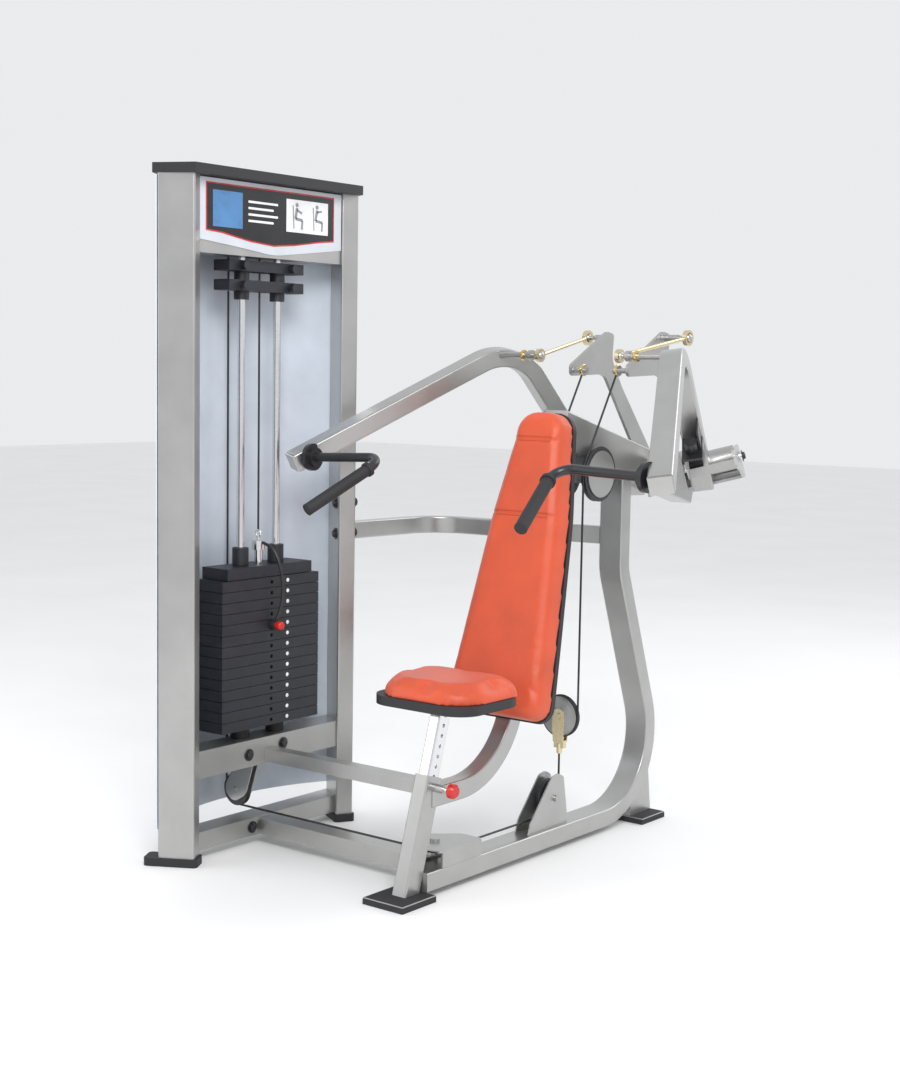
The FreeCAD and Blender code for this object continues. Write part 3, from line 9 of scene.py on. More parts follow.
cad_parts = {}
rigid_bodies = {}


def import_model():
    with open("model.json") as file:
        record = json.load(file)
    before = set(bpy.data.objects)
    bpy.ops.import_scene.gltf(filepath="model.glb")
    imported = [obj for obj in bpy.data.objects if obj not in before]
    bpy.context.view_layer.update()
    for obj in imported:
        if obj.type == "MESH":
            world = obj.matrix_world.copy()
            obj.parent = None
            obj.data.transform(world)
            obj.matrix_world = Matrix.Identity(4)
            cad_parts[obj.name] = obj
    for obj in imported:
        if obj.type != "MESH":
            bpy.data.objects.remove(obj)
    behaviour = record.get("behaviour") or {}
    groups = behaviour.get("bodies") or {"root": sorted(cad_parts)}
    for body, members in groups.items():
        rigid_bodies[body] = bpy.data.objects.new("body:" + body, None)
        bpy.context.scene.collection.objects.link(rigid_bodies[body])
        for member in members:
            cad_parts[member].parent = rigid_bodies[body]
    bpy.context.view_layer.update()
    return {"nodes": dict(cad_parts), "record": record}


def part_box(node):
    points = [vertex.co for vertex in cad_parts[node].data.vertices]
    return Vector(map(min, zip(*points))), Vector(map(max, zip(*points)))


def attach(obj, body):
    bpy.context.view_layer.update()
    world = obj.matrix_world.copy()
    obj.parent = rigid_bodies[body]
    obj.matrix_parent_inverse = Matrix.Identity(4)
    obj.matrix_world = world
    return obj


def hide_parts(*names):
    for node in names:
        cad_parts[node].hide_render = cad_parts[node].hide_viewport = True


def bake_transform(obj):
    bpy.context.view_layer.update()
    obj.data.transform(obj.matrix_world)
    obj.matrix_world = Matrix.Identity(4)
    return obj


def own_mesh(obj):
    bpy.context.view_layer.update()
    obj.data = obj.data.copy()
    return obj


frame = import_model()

OBJECTS = bpy.data.objects

# ---------------------------------------------------------------- places, in metres

BACK_LEAN = math.radians(15)
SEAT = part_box("seat_pad")
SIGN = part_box("sign_plate")
# where the seat's centre plane and the machine's zero line lie in the row frame
SPINE = 0.0979
MACHINE_Y = -0.474


def place(x, y, z):
    """A point told from the seat's centre plane, in the row frame."""
    return Vector((x + SPINE, y + MACHINE_Y, z))


# ---------------------------------------------------------------- materials

def new_material(name):
    material = bpy.data.materials.new(name)
    material.use_nodes = True
    shader = material.node_tree.nodes["Principled BSDF"]
    return material, material.node_tree.nodes, material.node_tree.links, shader


def noise(nodes, links, scale, detail=4.0, stretch=None):
    """A noise texture on the piece's own coordinates, in metres."""
    coords = nodes.new("ShaderNodeTexCoord")
    texture = nodes.new("ShaderNodeTexNoise")
    texture.inputs["Scale"].default_value = scale
    texture.inputs["Detail"].default_value = detail
    source = coords.outputs["Object"]
    if stretch:
        mapping = nodes.new("ShaderNodeMapping")
        mapping.inputs["Scale"].default_value = stretch
        links.new(source, mapping.inputs["Vector"])
        source = mapping.outputs["Vector"]
    links.new(source, texture.inputs["Vector"])
    return texture


def vary(nodes, links, shader, texture, dark, light):
    """Base colour that runs between two colours with a texture."""
    ramp = nodes.new("ShaderNodeValToRGB")
    ramp.color_ramp.elements[0].position = 0.3
    ramp.color_ramp.elements[1].position = 0.7
    ramp.color_ramp.elements[0].color = (*dark, 1)
    ramp.color_ramp.elements[1].color = (*light, 1)
    links.new(texture.outputs["Fac"], ramp.inputs["Fac"])
    links.new(ramp.outputs["Color"], shader.inputs["Base Color"])
    return ramp


def roughen(nodes, links, shader, texture, low, high):
    spread = nodes.new("ShaderNodeMapRange")
    spread.inputs["To Min"].default_value = low
    spread.inputs["To Max"].default_value = high
    links.new(texture.outputs["Fac"], spread.inputs["Value"])
    links.new(spread.outputs["Result"], shader.inputs["Roughness"])


def emboss(nodes, links, shader, height, strength, distance):
    bump = nodes.new("ShaderNodeBump")
    bump.inputs["Strength"].default_value = strength
    bump.inputs["Distance"].default_value = distance
    links.new(height, bump.inputs["Height"])
    links.new(bump.outputs["Normal"], shader.inputs["Normal"])


def shade(color, factor):
    return tuple(min(1.0, c * factor) for c in color)


def powder_paint(name, color, metallic=0.85, rough=(0.26, 0.36)):
    """Metallic paint: fine orange peel, slow drift of tone, and a clear coat."""
    material, nodes, links, shader = new_material(name)
    drift = noise(nodes, links, 9.0, 6.0)
    vary(nodes, links, shader, drift, shade(color, 0.93), shade(color, 1.05))
    roughen(nodes, links, shader, drift, *rough)
    peel = noise(nodes, links, 900.0, 2.0)
    emboss(nodes, links, shader, peel.outputs["Fac"], 0.12, 0.0004)
    shader.inputs["Metallic"].default_value = metallic
    shader.inputs["Coat Weight"].default_value = 0.25
    shader.inputs["Coat Roughness"].default_value = 0.2
    return material


def vinyl(name, color):
    """Upholstery vinyl: pebbled grain, soft sheen and broad tonal drift."""
    material, nodes, links, shader = new_material(name)
    drift = noise(nodes, links, 7.0, 5.0)
    vary(nodes, links, shader, drift, shade(color, 0.86), shade(color, 1.1))
    roughen(nodes, links, shader, drift, 0.38, 0.52)
    coords = nodes.new("ShaderNodeTexCoord")
    cells = nodes.new("ShaderNodeTexVoronoi")
    cells.feature = "DISTANCE_TO_EDGE"
    cells.inputs["Scale"].default_value = 520.0
    links.new(coords.outputs["Object"], cells.inputs["Vector"])
    emboss(nodes, links, shader, cells.outputs["Distance"], 0.22, 0.0006)
    shader.inputs["Sheen Weight"].default_value = 0.12
    shader.inputs["Specular IOR Level"].default_value = 0.42
    return material


def moulded(name, color, rough=(0.45, 0.6), grain=700.0, bump=0.18):
    """Moulded plastic or rubber with a fine spark-eroded grain."""
    material, nodes, links, shader = new_material(name)
    drift = noise(nodes, links, 14.0, 5.0)
    vary(nodes, links, shader, drift, shade(color, 0.85), shade(color, 1.15))
    roughen(nodes, links, shader, drift, *rough)
    fine = noise(nodes, links, grain, 3.0)
    emboss(nodes, links, shader, fine.outputs["Fac"], bump, 0.0005)
    return material


def plated(name, color, rough=(0.08, 0.16), brushed=0.05):
    """Chrome or zinc plate with faint lengthwise polishing lines."""
    material, nodes, links, shader = new_material(name)
    lines = noise(nodes, links, 60.0, 6.0, (1.0, 1.0, 14.0))
    vary(nodes, links, shader, lines, shade(color, 0.92), shade(color, 1.04))
    roughen(nodes, links, shader, lines, *rough)
    emboss(nodes, links, shader, lines.outputs["Fac"], brushed, 0.0003)
    shader.inputs["Metallic"].default_value = 1.0
    return material


def cast_paint(name, color):
    """Painted cast iron: a sandy skin under satin paint."""
    material, nodes, links, shader = new_material(name)
    drift = noise(nodes, links, 22.0, 6.0)
    vary(nodes, links, shader, drift, shade(color, 0.8), shade(color, 1.25))
    roughen(nodes, links, shader, drift, 0.4, 0.55)
    sand = noise(nodes, links, 420.0, 5.0)
    emboss(nodes, links, shader, sand.outputs["Fac"], 0.3, 0.0007)
    return material


FRAME_COLOR = (0.44, 0.44, 0.43)
NAVY_BLACK = (0.014, 0.016, 0.022)
MATERIALS = {
    "frame_paint": powder_paint("frame_paint", FRAME_COLOR),
    "black_rubber": moulded("black_rubber", (0.018, 0.018, 0.02), (0.6, 0.75), 500.0, 0.3),
    "black_board": moulded("black_board", (0.016, 0.016, 0.018)),
    "pad_vinyl": vinyl("pad_vinyl", (0.62, 0.085, 0.03)),
    "black_paint": powder_paint("black_paint", (0.015, 0.015, 0.018), 0.0, (0.3, 0.4)),
    "chrome": plated("chrome", (0.78, 0.78, 0.8)),
    "shroud_paint": powder_paint("shroud_paint", (0.62, 0.68, 0.76), 0.05, (0.35, 0.45)),
    "label_sheet": powder_paint("label_sheet", (0.6, 0.63, 0.68), 0.1, (0.35, 0.45)),
    "weight_paint": cast_paint("weight_paint", NAVY_BLACK),
    "zinc": plated("zinc", (0.72, 0.62, 0.4), (0.22, 0.34), 0.12),
    "cable_jacket": moulded("cable_jacket", (0.02, 0.02, 0.022), (0.3, 0.4), 900.0, 0.08),
    "pulley_nylon": moulded("pulley_nylon", (0.03, 0.03, 0.034), (0.35, 0.45), 600.0, 0.12),
    "red_knob": moulded("red_knob", (0.55, 0.02, 0.015), (0.2, 0.3), 300.0, 0.04),
}
PAPER = moulded("label_white", (0.78, 0.79, 0.8), (0.3, 0.36), 300.0, 0.03)
LABEL_BLACK = moulded("label_black", (0.01, 0.01, 0.012), (0.22, 0.3), 300.0, 0.03)
LABEL_RED = moulded("label_red", (0.5, 0.02, 0.02), (0.25, 0.3), 300.0, 0.03)
LABEL_BLUE = moulded("label_blue", (0.07, 0.2, 0.42), (0.25, 0.3), 300.0, 0.03)
LABEL_GREY = moulded("label_grey", (0.25, 0.26, 0.28), (0.3, 0.36), 300.0, 0.03)
THREAD = moulded("thread", (0.42, 0.05, 0.02), (0.6, 0.7), 900.0, 0.3)
BRASS = plated("brass_plate", (0.75, 0.55, 0.22), (0.15, 0.25), 0.05)


def give(piece, material):
    piece.data.materials.clear()
    piece.data.materials.append(material)


def paint_nodes():
    """Gives every CAD node the material of its slot, in the CAD object's own slots."""
    for entry in frame["record"]["subparts"]:
        piece = frame["nodes"][entry["node"]]
        material = MATERIALS[entry["material_slot"]]
        if not piece.material_slots:
            piece.data.materials.append(material)
        for slot in piece.material_slots:
            slot.material = material


# ---------------------------------------------------------------- mesh helpers

def mesh_piece(name, vertices, faces, material, body):
    mesh = bpy.data.meshes.new(name)
    mesh.from_pydata([tuple(v) for v in vertices], [], faces)
    mesh.update()
    piece = OBJECTS.new(name, mesh)
    bpy.context.collection.objects.link(piece)
    give(piece, material)
    if body:
        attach(piece, body)
    return piece


def smooth(piece, angle=40):
    piece.data.polygons.foreach_set("use_smooth", [True] * len(piece.data.polygons))
    edges = bmesh.new()
    edges.from_mesh(piece.data)
    limit = math.radians(angle)
    for edge in edges.edges:
        edge.smooth = len(edge.link_faces) != 2 or edge.calc_face_angle(0) < limit
    edges.to_mesh(piece.data)
    edges.free()


def lathe(name, profile, centre, axis, material, body, steps=40):
    """A turned piece from (radius, height) points about an axis."""
    axis = Vector(axis).normalized()
    side = axis.orthogonal().normalized()
    other = axis.cross(side)
    centre = Vector(centre)
    vertices = []
    for i in range(steps):
        angle = 2 * math.pi * i / steps
        out = side * math.cos(angle) + other * math.sin(angle)
        vertices += [centre + out * r + axis * h for r, h in profile]
    count = len(profile)
    faces = []
    for i in range(steps):
        j = (i + 1) % steps
        for k in range(count - 1):
            faces.append((i * count + k, j * count + k, j * count + k + 1, i * count + k + 1))
    mesh = bmesh.new()
    points = [mesh.verts.new(v) for v in vertices]
    for face in faces:
        mesh.faces.new([points[i] for i in face])
    bmesh.ops.remove_doubles(mesh, verts=mesh.verts, dist=1e-6)
    bmesh.ops.recalc_face_normals(mesh, faces=mesh.faces)
    data = bpy.data.meshes.new(name)
    mesh.to_mesh(data)
    mesh.free()
    piece = OBJECTS.new(name, data)
    bpy.context.collection.objects.link(piece)
    give(piece, material)
    smooth(piece)
    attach(piece, body)
    return piece


def curve_mesh(name, points, radius, nurbs=False, ends=True):
    """A round tube along points, as a mesh; `nurbs` runs it smoothly by its control points."""
    curve = bpy.data.curves.new(name, "CURVE")
    curve.dimensions = "3D"
    curve.bevel_depth = radius
    curve.bevel_resolution = 4
    curve.use_fill_caps = ends
    spline = curve.splines.new("NURBS" if nurbs else "POLY")
    spline.points.add(len(points) - 1)
    for target, point in zip(spline.points, points):
        target.co = (*point, 1.0)
    if nurbs:
        spline.order_u = 3
        spline.use_endpoint_u = True
        spline.resolution_u = 12
    line = OBJECTS.new(name, curve)
    bpy.context.collection.objects.link(line)
    bpy.context.view_layer.update()
    mesh = bpy.data.meshes.new_from_object(line)
    curve.bevel_depth = 0.0
    bpy.context.view_layer.update()
    path = [tuple(v.co) for v in bpy.data.meshes.new_from_object(line).vertices]
    OBJECTS.remove(line)
    piece = OBJECTS.new(name, mesh)
    bpy.context.collection.objects.link(piece)
    mesh.polygons.foreach_set("use_smooth", [True] * len(mesh.polygons))
    return piece, path


# ---------------------------------------------------------------- cushions

def rounded_outline(corners, radii, steps=10):
    """Points round a polygon whose corners are rounded."""
    points = []
    count = len(corners)
    for i, radius in enumerate(radii):
        corner = Vector(corners[i])
        before = (Vector(corners[i - 1]) - corner).normalized()
        after = (Vector(corners[(i + 1) % count]) - corner).normalized()
        half = before.angle(after) / 2
        reach = radius / math.tan(half)
        centre = corner + (before + after).normalized() * (radius / math.sin(half))
        start = corner + before * reach - centre
        finish = corner + after * reach - centre
        for k in range(steps + 1):
            arm = start.slerp(finish, k / steps)
            points.append(centre + arm.normalized() * radius)
    return points


COVER_GAP = 0.003
REMESH_SIZE = 0.006
CLOTH_FRAMES = 20
CLOTH_PRESSURE = 4.0


def cushion(name, node, outline, thick, frame_matrix, cap, edge):
    """Foam under a cover: a rounded slab, remeshed, swollen by cloth pressure and kept flat behind."""
    slab = bmesh.new()
    middle = sum((Vector(p) for p in outline), Vector((0, 0))) / len(outline)
    low = []
    for point in outline:
        inner = middle + (Vector(point) - middle) * (1 - COVER_GAP / (Vector(point) - middle).length)
        low.append(slab.verts.new((inner.x, inner.y, 0.0)))
    face = slab.faces.new(low)
    top = bmesh.ops.extrude_face_region(slab, geom=[face])
    lifted = [g for g in top["geom"] if isinstance(g, bmesh.types.BMVert)]
    bmesh.ops.translate(slab, verts=lifted, vec=(0, 0, thick - 0.002))
    bmesh.ops.recalc_face_normals(slab, faces=slab.faces)
    rim = [e for e in slab.edges if all(v.co.z > thick / 2 for v in e.verts)]
    bmesh.ops.bevel(slab, geom=rim, offset=edge, segments=6, profile=0.5, affect="EDGES")
    data = bpy.data.meshes.new(name)
    slab.to_mesh(data)
    slab.free()
    piece = OBJECTS.new(name, data)
    bpy.context.collection.objects.link(piece)
    bpy.context.view_layer.objects.active = piece
    remesh = piece.modifiers.new("Remesh", "REMESH")
    remesh.mode = "VOXEL"
    remesh.voxel_size = REMESH_SIZE
    bpy.context.view_layer.update()
    dense = bpy.data.meshes.new_from_object(piece.evaluated_get(bpy.context.evaluated_depsgraph_get()))
    piece.modifiers.clear()
    piece.data = dense
    swell(piece, cap, thick)
    subdivide(piece)
    piece.data.transform(frame_matrix)
    give(piece, MATERIALS["pad_vinyl"])
    piece.data.polygons.foreach_set("use_smooth", [True] * len(piece.data.polygons))
    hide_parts(node)
    return piece


def points_of(mesh):
    flat = np.empty(len(mesh.vertices) * 3)
    mesh.vertices.foreach_get("co", flat)
    return flat.reshape(-1, 3)


def swell(piece, cap, thick):
    """Cloth pressure, with each point's move capped and the back kept on its board."""
    rest = points_of(piece.data)
    moved = rest
    cloth = piece.modifiers.new("Cloth", "CLOTH")
    cloth.settings.use_pressure = True
    cloth.settings.uniform_pressure_force = CLOTH_PRESSURE
    cloth.settings.effector_weights.gravity = 0.0
    scene = bpy.context.scene
    for number in range(1, CLOTH_FRAMES + 1):
        scene.frame_set(number)
    shape = piece.evaluated_get(bpy.context.evaluated_depsgraph_get())
    moved = points_of(shape.data)
    piece.modifiers.clear()
    scene.frame_set(1)
    shift = moved - rest
    length = np.linalg.norm(shift, axis=1, keepdims=True)
    shift *= np.minimum(1.0, cap / np.maximum(length, 1e-9))
    rise = np.clip(rest[:, 2:3] / thick, 0.0, 1.0)
    final = rest + shift * rise
    final[:, 2] = np.clip(final[:, 2], 0.0, thick + cap)
    piece.data.vertices.foreach_set("co", final.ravel())
    piece.data.update()


def subdivide(piece):
    modifier = piece.modifiers.new("Smooth", "SUBSURF")
    modifier.levels = 1
    bpy.context.view_layer.update()
    dense = bpy.data.meshes.new_from_object(piece.evaluated_get(bpy.context.evaluated_depsgraph_get()))
    piece.modifiers.clear()
    piece.data = dense


def groove(piece, origin, across, along, depth, width):
    """Draws the cover in along a seam: the line through origin, square to `along`."""
    co = points_of(piece.data)
    distance = (co - np.array(origin)) @ np.array(along)
    pull = depth * np.exp(-(distance / width) ** 2)
    normals = np.empty(len(piece.data.vertices) * 3)
    piece.data.vertices.foreach_get("normal", normals)
    facing = normals.reshape(-1, 3) @ np.array(across)
    co -= np.outer(pull * np.clip(facing, 0, 1), np.array(across))
    piece.data.vertices.foreach_set("co", co.ravel())
    piece.data.update()


SEAT_CORNERS = (0.11, 0.11, 0.05, 0.05)
SEAT_CROWN = 0.016
SEAT_EDGE = 0.022


def seat_cushion():
    low, high = SEAT
    half = (high[0] - low[0]) / 2
    deep = (high[1] - low[1]) / 2
    corners = [(-half, -deep), (half, -deep), (half, deep), (-half, deep)]
    outline = rounded_outline(corners, SEAT_CORNERS)
    middle = Vector(((low[0] + high[0]) / 2, (low[1] + high[1]) / 2, low[2]))
    matrix = Matrix.Translation(middle)
    return cushion("seat_cushion", "seat_pad", outline, high[2] - low[2], matrix, SEAT_CROWN, SEAT_EDGE)


def back_axes():
    facing = Vector((0, -math.cos(BACK_LEAN), math.sin(BACK_LEAN)))
    along = Vector((0, math.sin(BACK_LEAN), math.cos(BACK_LEAN)))
    return Vector((1, 0, 0)), along, facing


BACK_HALF_WIDTHS = ((0.163, 0.0), (0.142, 0.259), (0.117, 0.551), (0.07, 0.848))
BACK_CORNERS = (0.045, 0.5, 0.9, 0.062, 0.062, 0.9, 0.5, 0.045)
BACK_FOAM = 0.062
BACK_CROWN = 0.008
BACK_EDGE = 0.02
SEAM_DEPTH = 0.003
SEAM_WIDTH = 0.004
BACK_FOOT = place(0, 0.249, 0.430)
SEAM_RUNS = (0.551, 0.76)


def back_cushion():
    right, along, facing = back_axes()
    side = list(BACK_HALF_WIDTHS)
    corners = side + [(-u, v) for u, v in reversed(side)]
    outline = rounded_outline(corners, BACK_CORNERS)
    matrix = Matrix.Identity(4)
    for column, axis in enumerate((right, along, facing)):
        matrix.col[column] = (*axis, 0)
    matrix.translation = BACK_FOOT - facing * BACK_FOAM
    piece = cushion("back_cushion", "back_pad", outline, BACK_FOAM, matrix, BACK_CROWN, BACK_EDGE)
    for run in SEAM_RUNS:
        origin = BACK_FOOT + along * run
        groove(piece, origin, facing, along, SEAM_DEPTH, SEAM_WIDTH)
    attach(piece, "frame")
    return piece


def stitches():
    """Paired rows of short stitches beside each cross seam of the back."""
    right, along, facing = back_axes()
    for number, run in enumerate(SEAM_RUNS):
        share = np.interp(run, [v for _, v in BACK_HALF_WIDTHS], [u for u, _ in BACK_HALF_WIDTHS])
        reach = share - 0.024
        vertices = []
        faces = []
        pitch = 0.0065
        for row in (-1, 1):
            count = int(2 * reach / pitch)
            for i in range(count):
                start = -reach + i * pitch
                centre = BACK_FOOT + right * (start + pitch / 2) + along * (run + row * 0.006)
                centre += facing * 0.0068
                base = len(vertices)
                half_long = right * 0.0021
                half_wide = along * 0.0006
                rise = facing * 0.0007
                vertices += [
                    centre - half_long - half_wide - rise, centre + half_long - half_wide - rise,
                    centre + half_long + half_wide - rise, centre - half_long + half_wide - rise,
                    centre - half_long * 0.7 + rise, centre + half_long * 0.7 + rise,
                ]
                faces += [
                    (base, base + 1, base + 5, base + 4), (base + 3, base + 4, base + 5, base + 2),
                    (base, base + 4, base + 3), (base + 1, base + 2, base + 5),
                ]
        mesh_piece(f"seam_stitches_{number}", vertices, faces, THREAD, "frame")


# ---------------------------------------------------------------- sign label and plate marks

def sheet_piece(name, outline, x, material, thick=0.0008):
    """A thin flat piece on the sign, drawn as (Y, Z) points and standing off towards +X."""
    back = [(x, y, z) for y, z in outline]
    front = [(x + thick, y, z) for y, z in outline]
    count = len(outline)
    faces = [tuple(range(count, 2 * count)), tuple(reversed(range(count)))]
    faces += [(i, (i + 1) % count, (i + 1) % count + count, i + count) for i in range(count)]
    return mesh_piece(name, back + front, faces, material, "frame")


def label_y(value):
    return value / 1000 + MACHINE_Y


def sign_label():
    face = SIGN[1][0]
    wave = [(327, 1706), (269, 1700), (166, 1685), (82, 1677), (-11, 1684), (-116, 1700), (-174, 1704)]
    top = 1831
    border = [(label_y(y), z / 1000) for y, z in [(-174, top), (327, top)] + wave]
    sheet_piece("label_border", border, face + 0.0002, LABEL_RED)
    inner = [(-170, top - 4), (323, top - 4)]
    inner += [(323, 1710), (269, 1704), (166, 1689), (82, 1681), (-11, 1688), (-116, 1704), (-170, 1708)]
    sheet_piece("label_ground", [(label_y(y), z / 1000) for y, z in inner], face + 0.0008, LABEL_BLACK)
    panel("label_picture", -150, -40, 1716, 1812, face + 0.0014, LABEL_BLUE)
    panel("label_steps", 130, 300, 1722, 1812, face + 0.0014, PAPER)
    for i in range(4):
        panel(f"label_line_{i}", -18, 96 - 17 * (i % 2), 1788 - i * 17, 1794 - i * 17, face + 0.0014, PAPER)
    for i, middle in enumerate((172, 254)):
        figure(f"label_figure_{i}", middle, face + 0.002, 12 * i)


def panel(name, low_y, high_y, low_z, high_z, x, material):
    corners = [(low_y, low_z), (high_y, low_z), (high_y, high_z), (low_y, high_z)]
    return sheet_piece(name, [(label_y(y), z / 1000) for y, z in corners], x, material, 0.0005)


def figure(name, middle, x, lift):
    """A plain pictogram of a seated user: a head, a back, a thigh, a shin and an arm."""
    head = [
        (middle + 6 * math.cos(a), 1798 + 6 * math.sin(a)) for a in (2 * math.pi * i / 14 for i in range(14))
    ]
    strokes = [
        ((middle, 1790), (middle - 6, 1760), 9), ((middle - 6, 1760), (middle + 22, 1757), 8),
        ((middle + 22, 1757), (middle + 20, 1732), 7), ((middle, 1784), (middle + 20, 1776 + lift), 6),
        ((middle - 16, 1796), (middle - 12, 1732), 4),
    ]
    sheet_piece(f"{name}_head", [(label_y(y), z / 1000) for y, z in head], x, LABEL_GREY, 0.0004)
    for i, (start, end, wide) in enumerate(strokes):
        run = (Vector(end) - Vector(start)).normalized()
        side = Vector((-run.y, run.x)) * wide / 2
        corners = [Vector(start) - side, Vector(end) - side, Vector(end) + side, Vector(start) + side]
        sheet_piece(f"{name}_{i}", [(label_y(c.x), c.y / 1000) for c in corners], x, LABEL_GREY, 0.0004)


PLATE_PITCH = 0.0302
FIRST_MARK = 0.0149
MARK_Y = 146
MARK_PROFILE = ((0, 0), (0.0056, 0), (0.0056, 0.0005), (0.0052, 0.0008), (0, 0.0008))


def weight_marks():
    """A round white mark on each plate's face, beside its selector hole."""
    for node, body, count in (("resting_plates", "frame", 9), ("lifted_plates", "stack", 5)):
        low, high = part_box(node)
        for i in range(count):
            z = low[2] + PLATE_PITCH * i + FIRST_MARK
            centre = (high[0] + 0.0001, label_y(MARK_Y), z)
            lathe(f"mark_{node}_{i}", MARK_PROFILE, centre, (1, 0, 0), PAPER, body, 24)


# ---------------------------------------------------------------- knobs, rings, boots and covers

def small_fittings():
    low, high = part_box("selector_pin")
    tip = Vector((high[0], (low[1] + high[1]) / 2, (low[2] + high[2]) / 2))
    cap = [
        (0, 0.0105), (0.006, 0.0104), (0.0105, 0.0075), (0.0122, 0.003), (0.0122, -0.006), (0.0113, -0.0072),
    ]
    red = MATERIALS["red_knob"]
    lathe("selector_knob", cap, tip - Vector((0.004, 0, 0)), (1, 0, 0), red, "selector")
    sleeve = [(0.0132, -0.0005), (0.0138, 0.001), (0.0138, 0.016), (0.0128, 0.0185), (0.0095, 0.019)]
    black = MATERIALS["black_board"]
    lathe("selector_head", sleeve, tip - Vector((0.036, 0, 0)), (1, 0, 0), black, "selector")
    low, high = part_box("seat_pin")
    middle = Vector((low[0], (low[1] + high[1]) / 2, (low[2] + high[2]) / 2))
    rod = [(0, -0.0001), (0.0055, 0), (0.0062, 0.001), (0.0062, 0.0535)]
    lathe("seat_pin_rod", rod, middle, (1, 0, 0), MATERIALS["chrome"], "seat_lock")
    for name, side in (("right", -1), ("left", 1)):
        ball = place(side * 0.190, 0.650, 1.393)
        ring = [(0.0098, -0.004), (0.015, -0.004), (0.016, 0), (0.015, 0.004), (0.0098, 0.004)]
        lathe(f"peg_ring_{name}", ring, ball, (1, 0, 0), BRASS, f"arm_{name}")
        eye = place(side * 0.058, 0.762, 1.353)
        band = [(0.0152, -0.0045), (0.0172, -0.003), (0.0172, 0.003), (0.0152, 0.0045)]
        lathe(f"cable_eye_ring_{name}", band, eye, (1, 0, 0), BRASS, f"rocker_{name}")


# name, half width, front and rear of each boot
BOOTS = (("front", 0.0655, -0.1735, -0.039), ("rear", 0.0731, 0.941, 1.068))
BOOT_FLOOR = 0.0002
BOOT_TOP = 0.0188
BOOT_BEVEL = 0.004


def foot_boots():
    """Black covers pulled over the two foot plates of the main tube."""
    for name, half, front, rear in BOOTS:
        low = place(-half, front, BOOT_FLOOR)
        high = place(half, rear, BOOT_TOP)
        rings = ((low.z, 0.0), (high.z - BOOT_BEVEL, 0.0), (high.z, BOOT_BEVEL))
        vertices = []
        for z, trim in rings:
            for x, y in ((low.x + trim, low.y + trim), (high.x - trim, low.y + trim),
                         (high.x - trim, high.y - trim), (low.x + trim, high.y - trim)):
                vertices.append(Vector((x, y, z)))
        faces = [(3, 2, 1, 0), (8, 9, 10, 11)]
        for level in (0, 4):
            for i in range(4):
                following = (i + 1) % 4
                faces.append((level + i, level + following, level + 4 + following, level + 4 + i))
        mesh_piece(f"foot_boot_{name}", vertices, faces, MATERIALS["black_rubber"], "frame")


COVER_PROFILE = (
    (0, 0.0048), (0.010, 0.0048), (0.012, 0.0036), (0.048, 0.0036),
    (0.056, 0.002), (0.057, 0.0006), (0.057, 0),
)
COVER_CLEARANCE = 0.0003


def pulley_covers():
    """The two pale discs that cover the rising pulley's faces."""
    low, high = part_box("block_pulley")
    centre = (Vector(low) + Vector(high)) / 2
    half = (high[1] - low[1]) / 2
    paint = MATERIALS["frame_paint"]
    for name, way in (("front", -1), ("rear", 1)):
        face = centre + Vector((0, way * (half + COVER_CLEARANCE), 0))
        lathe(f"block_cover_{name}", COVER_PROFILE, face, (0, way, 0), paint, "rising_block")


# ---------------------------------------------------------------- cables and lanyard

CABLE_RADIUS = 0.003
STRAND_X = 0.058
STRAND_TOP = 1.061
BLOCK_Z = 0.375
STRAND_Y = 0.6


def cables():
    """Cables as round tubes: two strands, a loop under the rising block, a tail below it and the stack's
    hoist cable.
    """
    material = MATERIALS["cable_jacket"]
    for name, side in (("right", -1), ("left", 1)):
        x = side * STRAND_X
        points = [place(x, STRAND_Y, BLOCK_Z + (STRAND_TOP - BLOCK_Z) * i / 12) for i in range(13)]
        strand, _ = curve_mesh(f"strand_{name}", points, CABLE_RADIUS)
        give(strand, material)
        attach(strand, "frame")
        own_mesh(strand)
    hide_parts("block_cable")
    arc = [math.pi + math.pi * i / 32 for i in range(33)]
    loop_points = [place(STRAND_X * math.cos(a), STRAND_Y, BLOCK_Z + STRAND_X * math.sin(a)) for a in arc]
    loop, _ = curve_mesh("block_loop", loop_points, CABLE_RADIUS)
    give(loop, material)
    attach(loop, "rising_block")
    lower = [place(0, 0.597, 0.15 + 0.118 * i / 8) for i in range(9)]
    low_cable, _ = curve_mesh("block_tail", lower, CABLE_RADIUS)
    give(low_cable, material)
    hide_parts("lower_cable")
    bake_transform(low_cable)
    box_low, box_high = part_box("stack_cable")
    middle = Vector(((box_low[0] + box_high[0]) / 2, (box_low[1] + box_high[1]) / 2, 0))
    tall = box_high[2] - box_low[2]
    points = [middle + Vector((0, 0, box_low[2] + tall * i / 12)) for i in range(13)]
    stack, _ = curve_mesh("stack_hoist", points, CABLE_RADIUS)
    give(stack, material)
    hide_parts("stack_cable")
    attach(stack, "frame")
    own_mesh(stack)


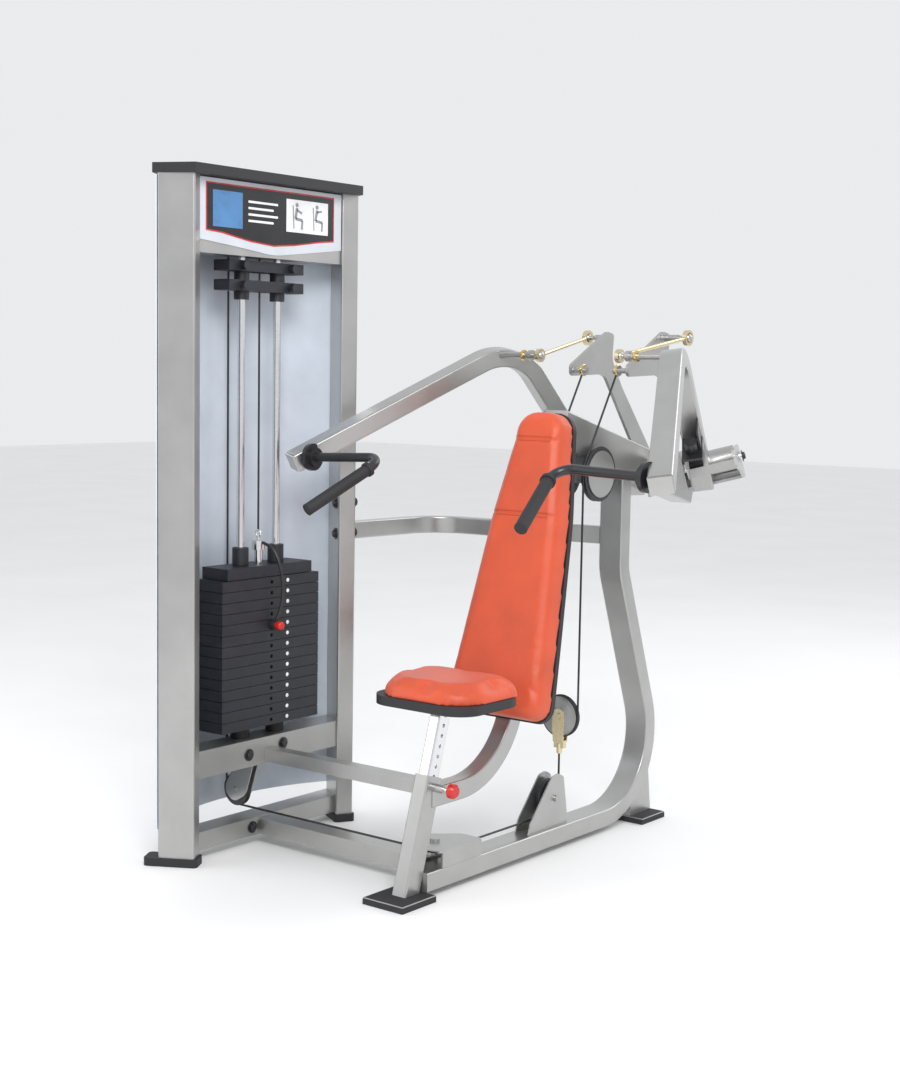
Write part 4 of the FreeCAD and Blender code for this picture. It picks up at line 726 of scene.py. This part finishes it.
def rocker_cables():
    """From each rocker's eye down on to the front of its upper pulley."""
    radius = 0.075
    centre = Vector((0.675, 1.063))
    peg = Vector((0.762, 1.353))
    reach = (peg - centre).length
    angle = math.atan2(peg.y - centre.y, peg.x - centre.x) + math.acos(radius / reach)
    for name, side in (("right", -1), ("left", 1)):
        x = side * STRAND_X
        touch = centre + Vector((math.cos(angle), math.sin(angle))) * radius
        start = peg + (touch - peg).normalized() * 0.0155
        line = [start.lerp(touch, i / 16) for i in range(17)]
        steps = 12
        for i in range(1, steps + 1):
            turn = angle + (math.pi - angle) * i / steps
            line.append(centre + Vector((math.cos(turn), math.sin(turn))) * radius)
        points = [place(x, p.x, p.y) for p in line]
        cable, _ = curve_mesh(f"pull_cable_{name}", points, CABLE_RADIUS)
        give(cable, MATERIALS["cable_jacket"])
        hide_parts(f"rocker_cable_{name}")
        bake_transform(cable)


LANYARD_ROUTE = [
    (-0.674, 0.082, 0.854), (-0.648, 0.083, 0.849), (-0.624, 0.086, 0.824), (-0.609, 0.090, 0.782),
    (-0.603, 0.092, 0.733), (-0.605, 0.090, 0.690), (-0.612, 0.087, 0.663), (-0.620, 0.0835, 0.6405),
]
LANYARD_DIAMETER = 0.009


def lanyard():
    points = [place(*point) for point in LANYARD_ROUTE]
    cord, path = curve_mesh("pin_lanyard", points, LANYARD_DIAMETER / 2, nurbs=True)
    give(cord, MATERIALS["cable_jacket"])
    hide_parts("lanyard")
    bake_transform(cord)


# ---------------------------------------------------------------- studio

FLOOR_SIZE = 40
SKY_COLOR = (0.97, 0.98, 1.0, 1)
SKY_STRENGTH = 0.85
FLOOR_DARK = (0.86, 0.86, 0.86)
FLOOR_LIGHT = (0.89, 0.89, 0.89)


def studio():
    bpy.ops.mesh.primitive_plane_add(size=FLOOR_SIZE, location=(0, 0, 0))
    floor = bpy.context.object
    floor.name = "studio_floor"
    material, nodes, links, shader = new_material("studio_floor")
    drift = noise(nodes, links, 1.5, 3.0)
    vary(nodes, links, shader, drift, FLOOR_DARK, FLOOR_LIGHT)
    roughen(nodes, links, shader, drift, 0.55, 0.65)
    give(floor, material)
    world = bpy.data.worlds.new("studio")
    world.use_nodes = True
    world.node_tree.nodes["Background"].inputs["Color"].default_value = SKY_COLOR
    world.node_tree.nodes["Background"].inputs["Strength"].default_value = SKY_STRENGTH
    bpy.context.scene.world = world
    bpy.context.scene.view_settings.view_transform = "Standard"
    lamp("key", (3.2, -3.6, 4.2), 2.4, 200)
    lamp("fill", (-3.6, -3.0, 2.6), 3.5, 45)
    lamp("rear", (1.5, 3.8, 3.6), 3.0, 60)


def lamp(name, location, wide, power):
    light = bpy.data.lights.new(name, "AREA")
    light.size = wide
    light.energy = power
    piece = OBJECTS.new(name, light)
    piece.location = location
    aim = Vector((0, 0, 0.9)) - Vector(location)
    piece.rotation_euler = aim.to_track_quat("-Z", "Y").to_euler()
    bpy.context.collection.objects.link(piece)


CAMERA_PLACE = (2.7440, -3.7767, 1.3440)
CAMERA_YAW = math.radians(38.06)
CAMERA_PITCH = math.radians(-5.72)
CAMERA_ROLL = math.radians(0.95)
CAMERA_LENS = 56.08
SENSOR_WIDTH = 36.0


def camera():
    data = bpy.data.cameras.new("camera")
    data.lens = CAMERA_LENS
    data.sensor_width = SENSOR_WIDTH
    piece = OBJECTS.new("camera", data)
    bpy.context.collection.objects.link(piece)
    yaw, pitch, roll = CAMERA_YAW, CAMERA_PITCH, CAMERA_ROLL
    forward = Vector((-math.sin(yaw) * math.cos(pitch), math.cos(yaw) * math.cos(pitch), math.sin(pitch)))
    right = Vector((math.cos(yaw), math.sin(yaw), 0))
    up = right.cross(forward)
    tilted = right * math.cos(roll) + up * math.sin(roll)
    matrix = Matrix.Identity(4)
    for column, axis in enumerate((tilted, tilted.cross(forward), -forward)):
        matrix.col[column] = (*axis, 0)
    matrix.translation = CAMERA_PLACE
    piece.matrix_world = matrix
    bpy.context.scene.camera = piece


# ---------------------------------------------------------------- the machine

camera()
paint_nodes()
lanyard()
cables()
rocker_cables()
seat_cover = seat_cushion()
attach(seat_cover, "seat")
back_cushion()
stitches()
sign_label()
weight_marks()
small_fittings()
pulley_covers()
foot_boots()
studio()
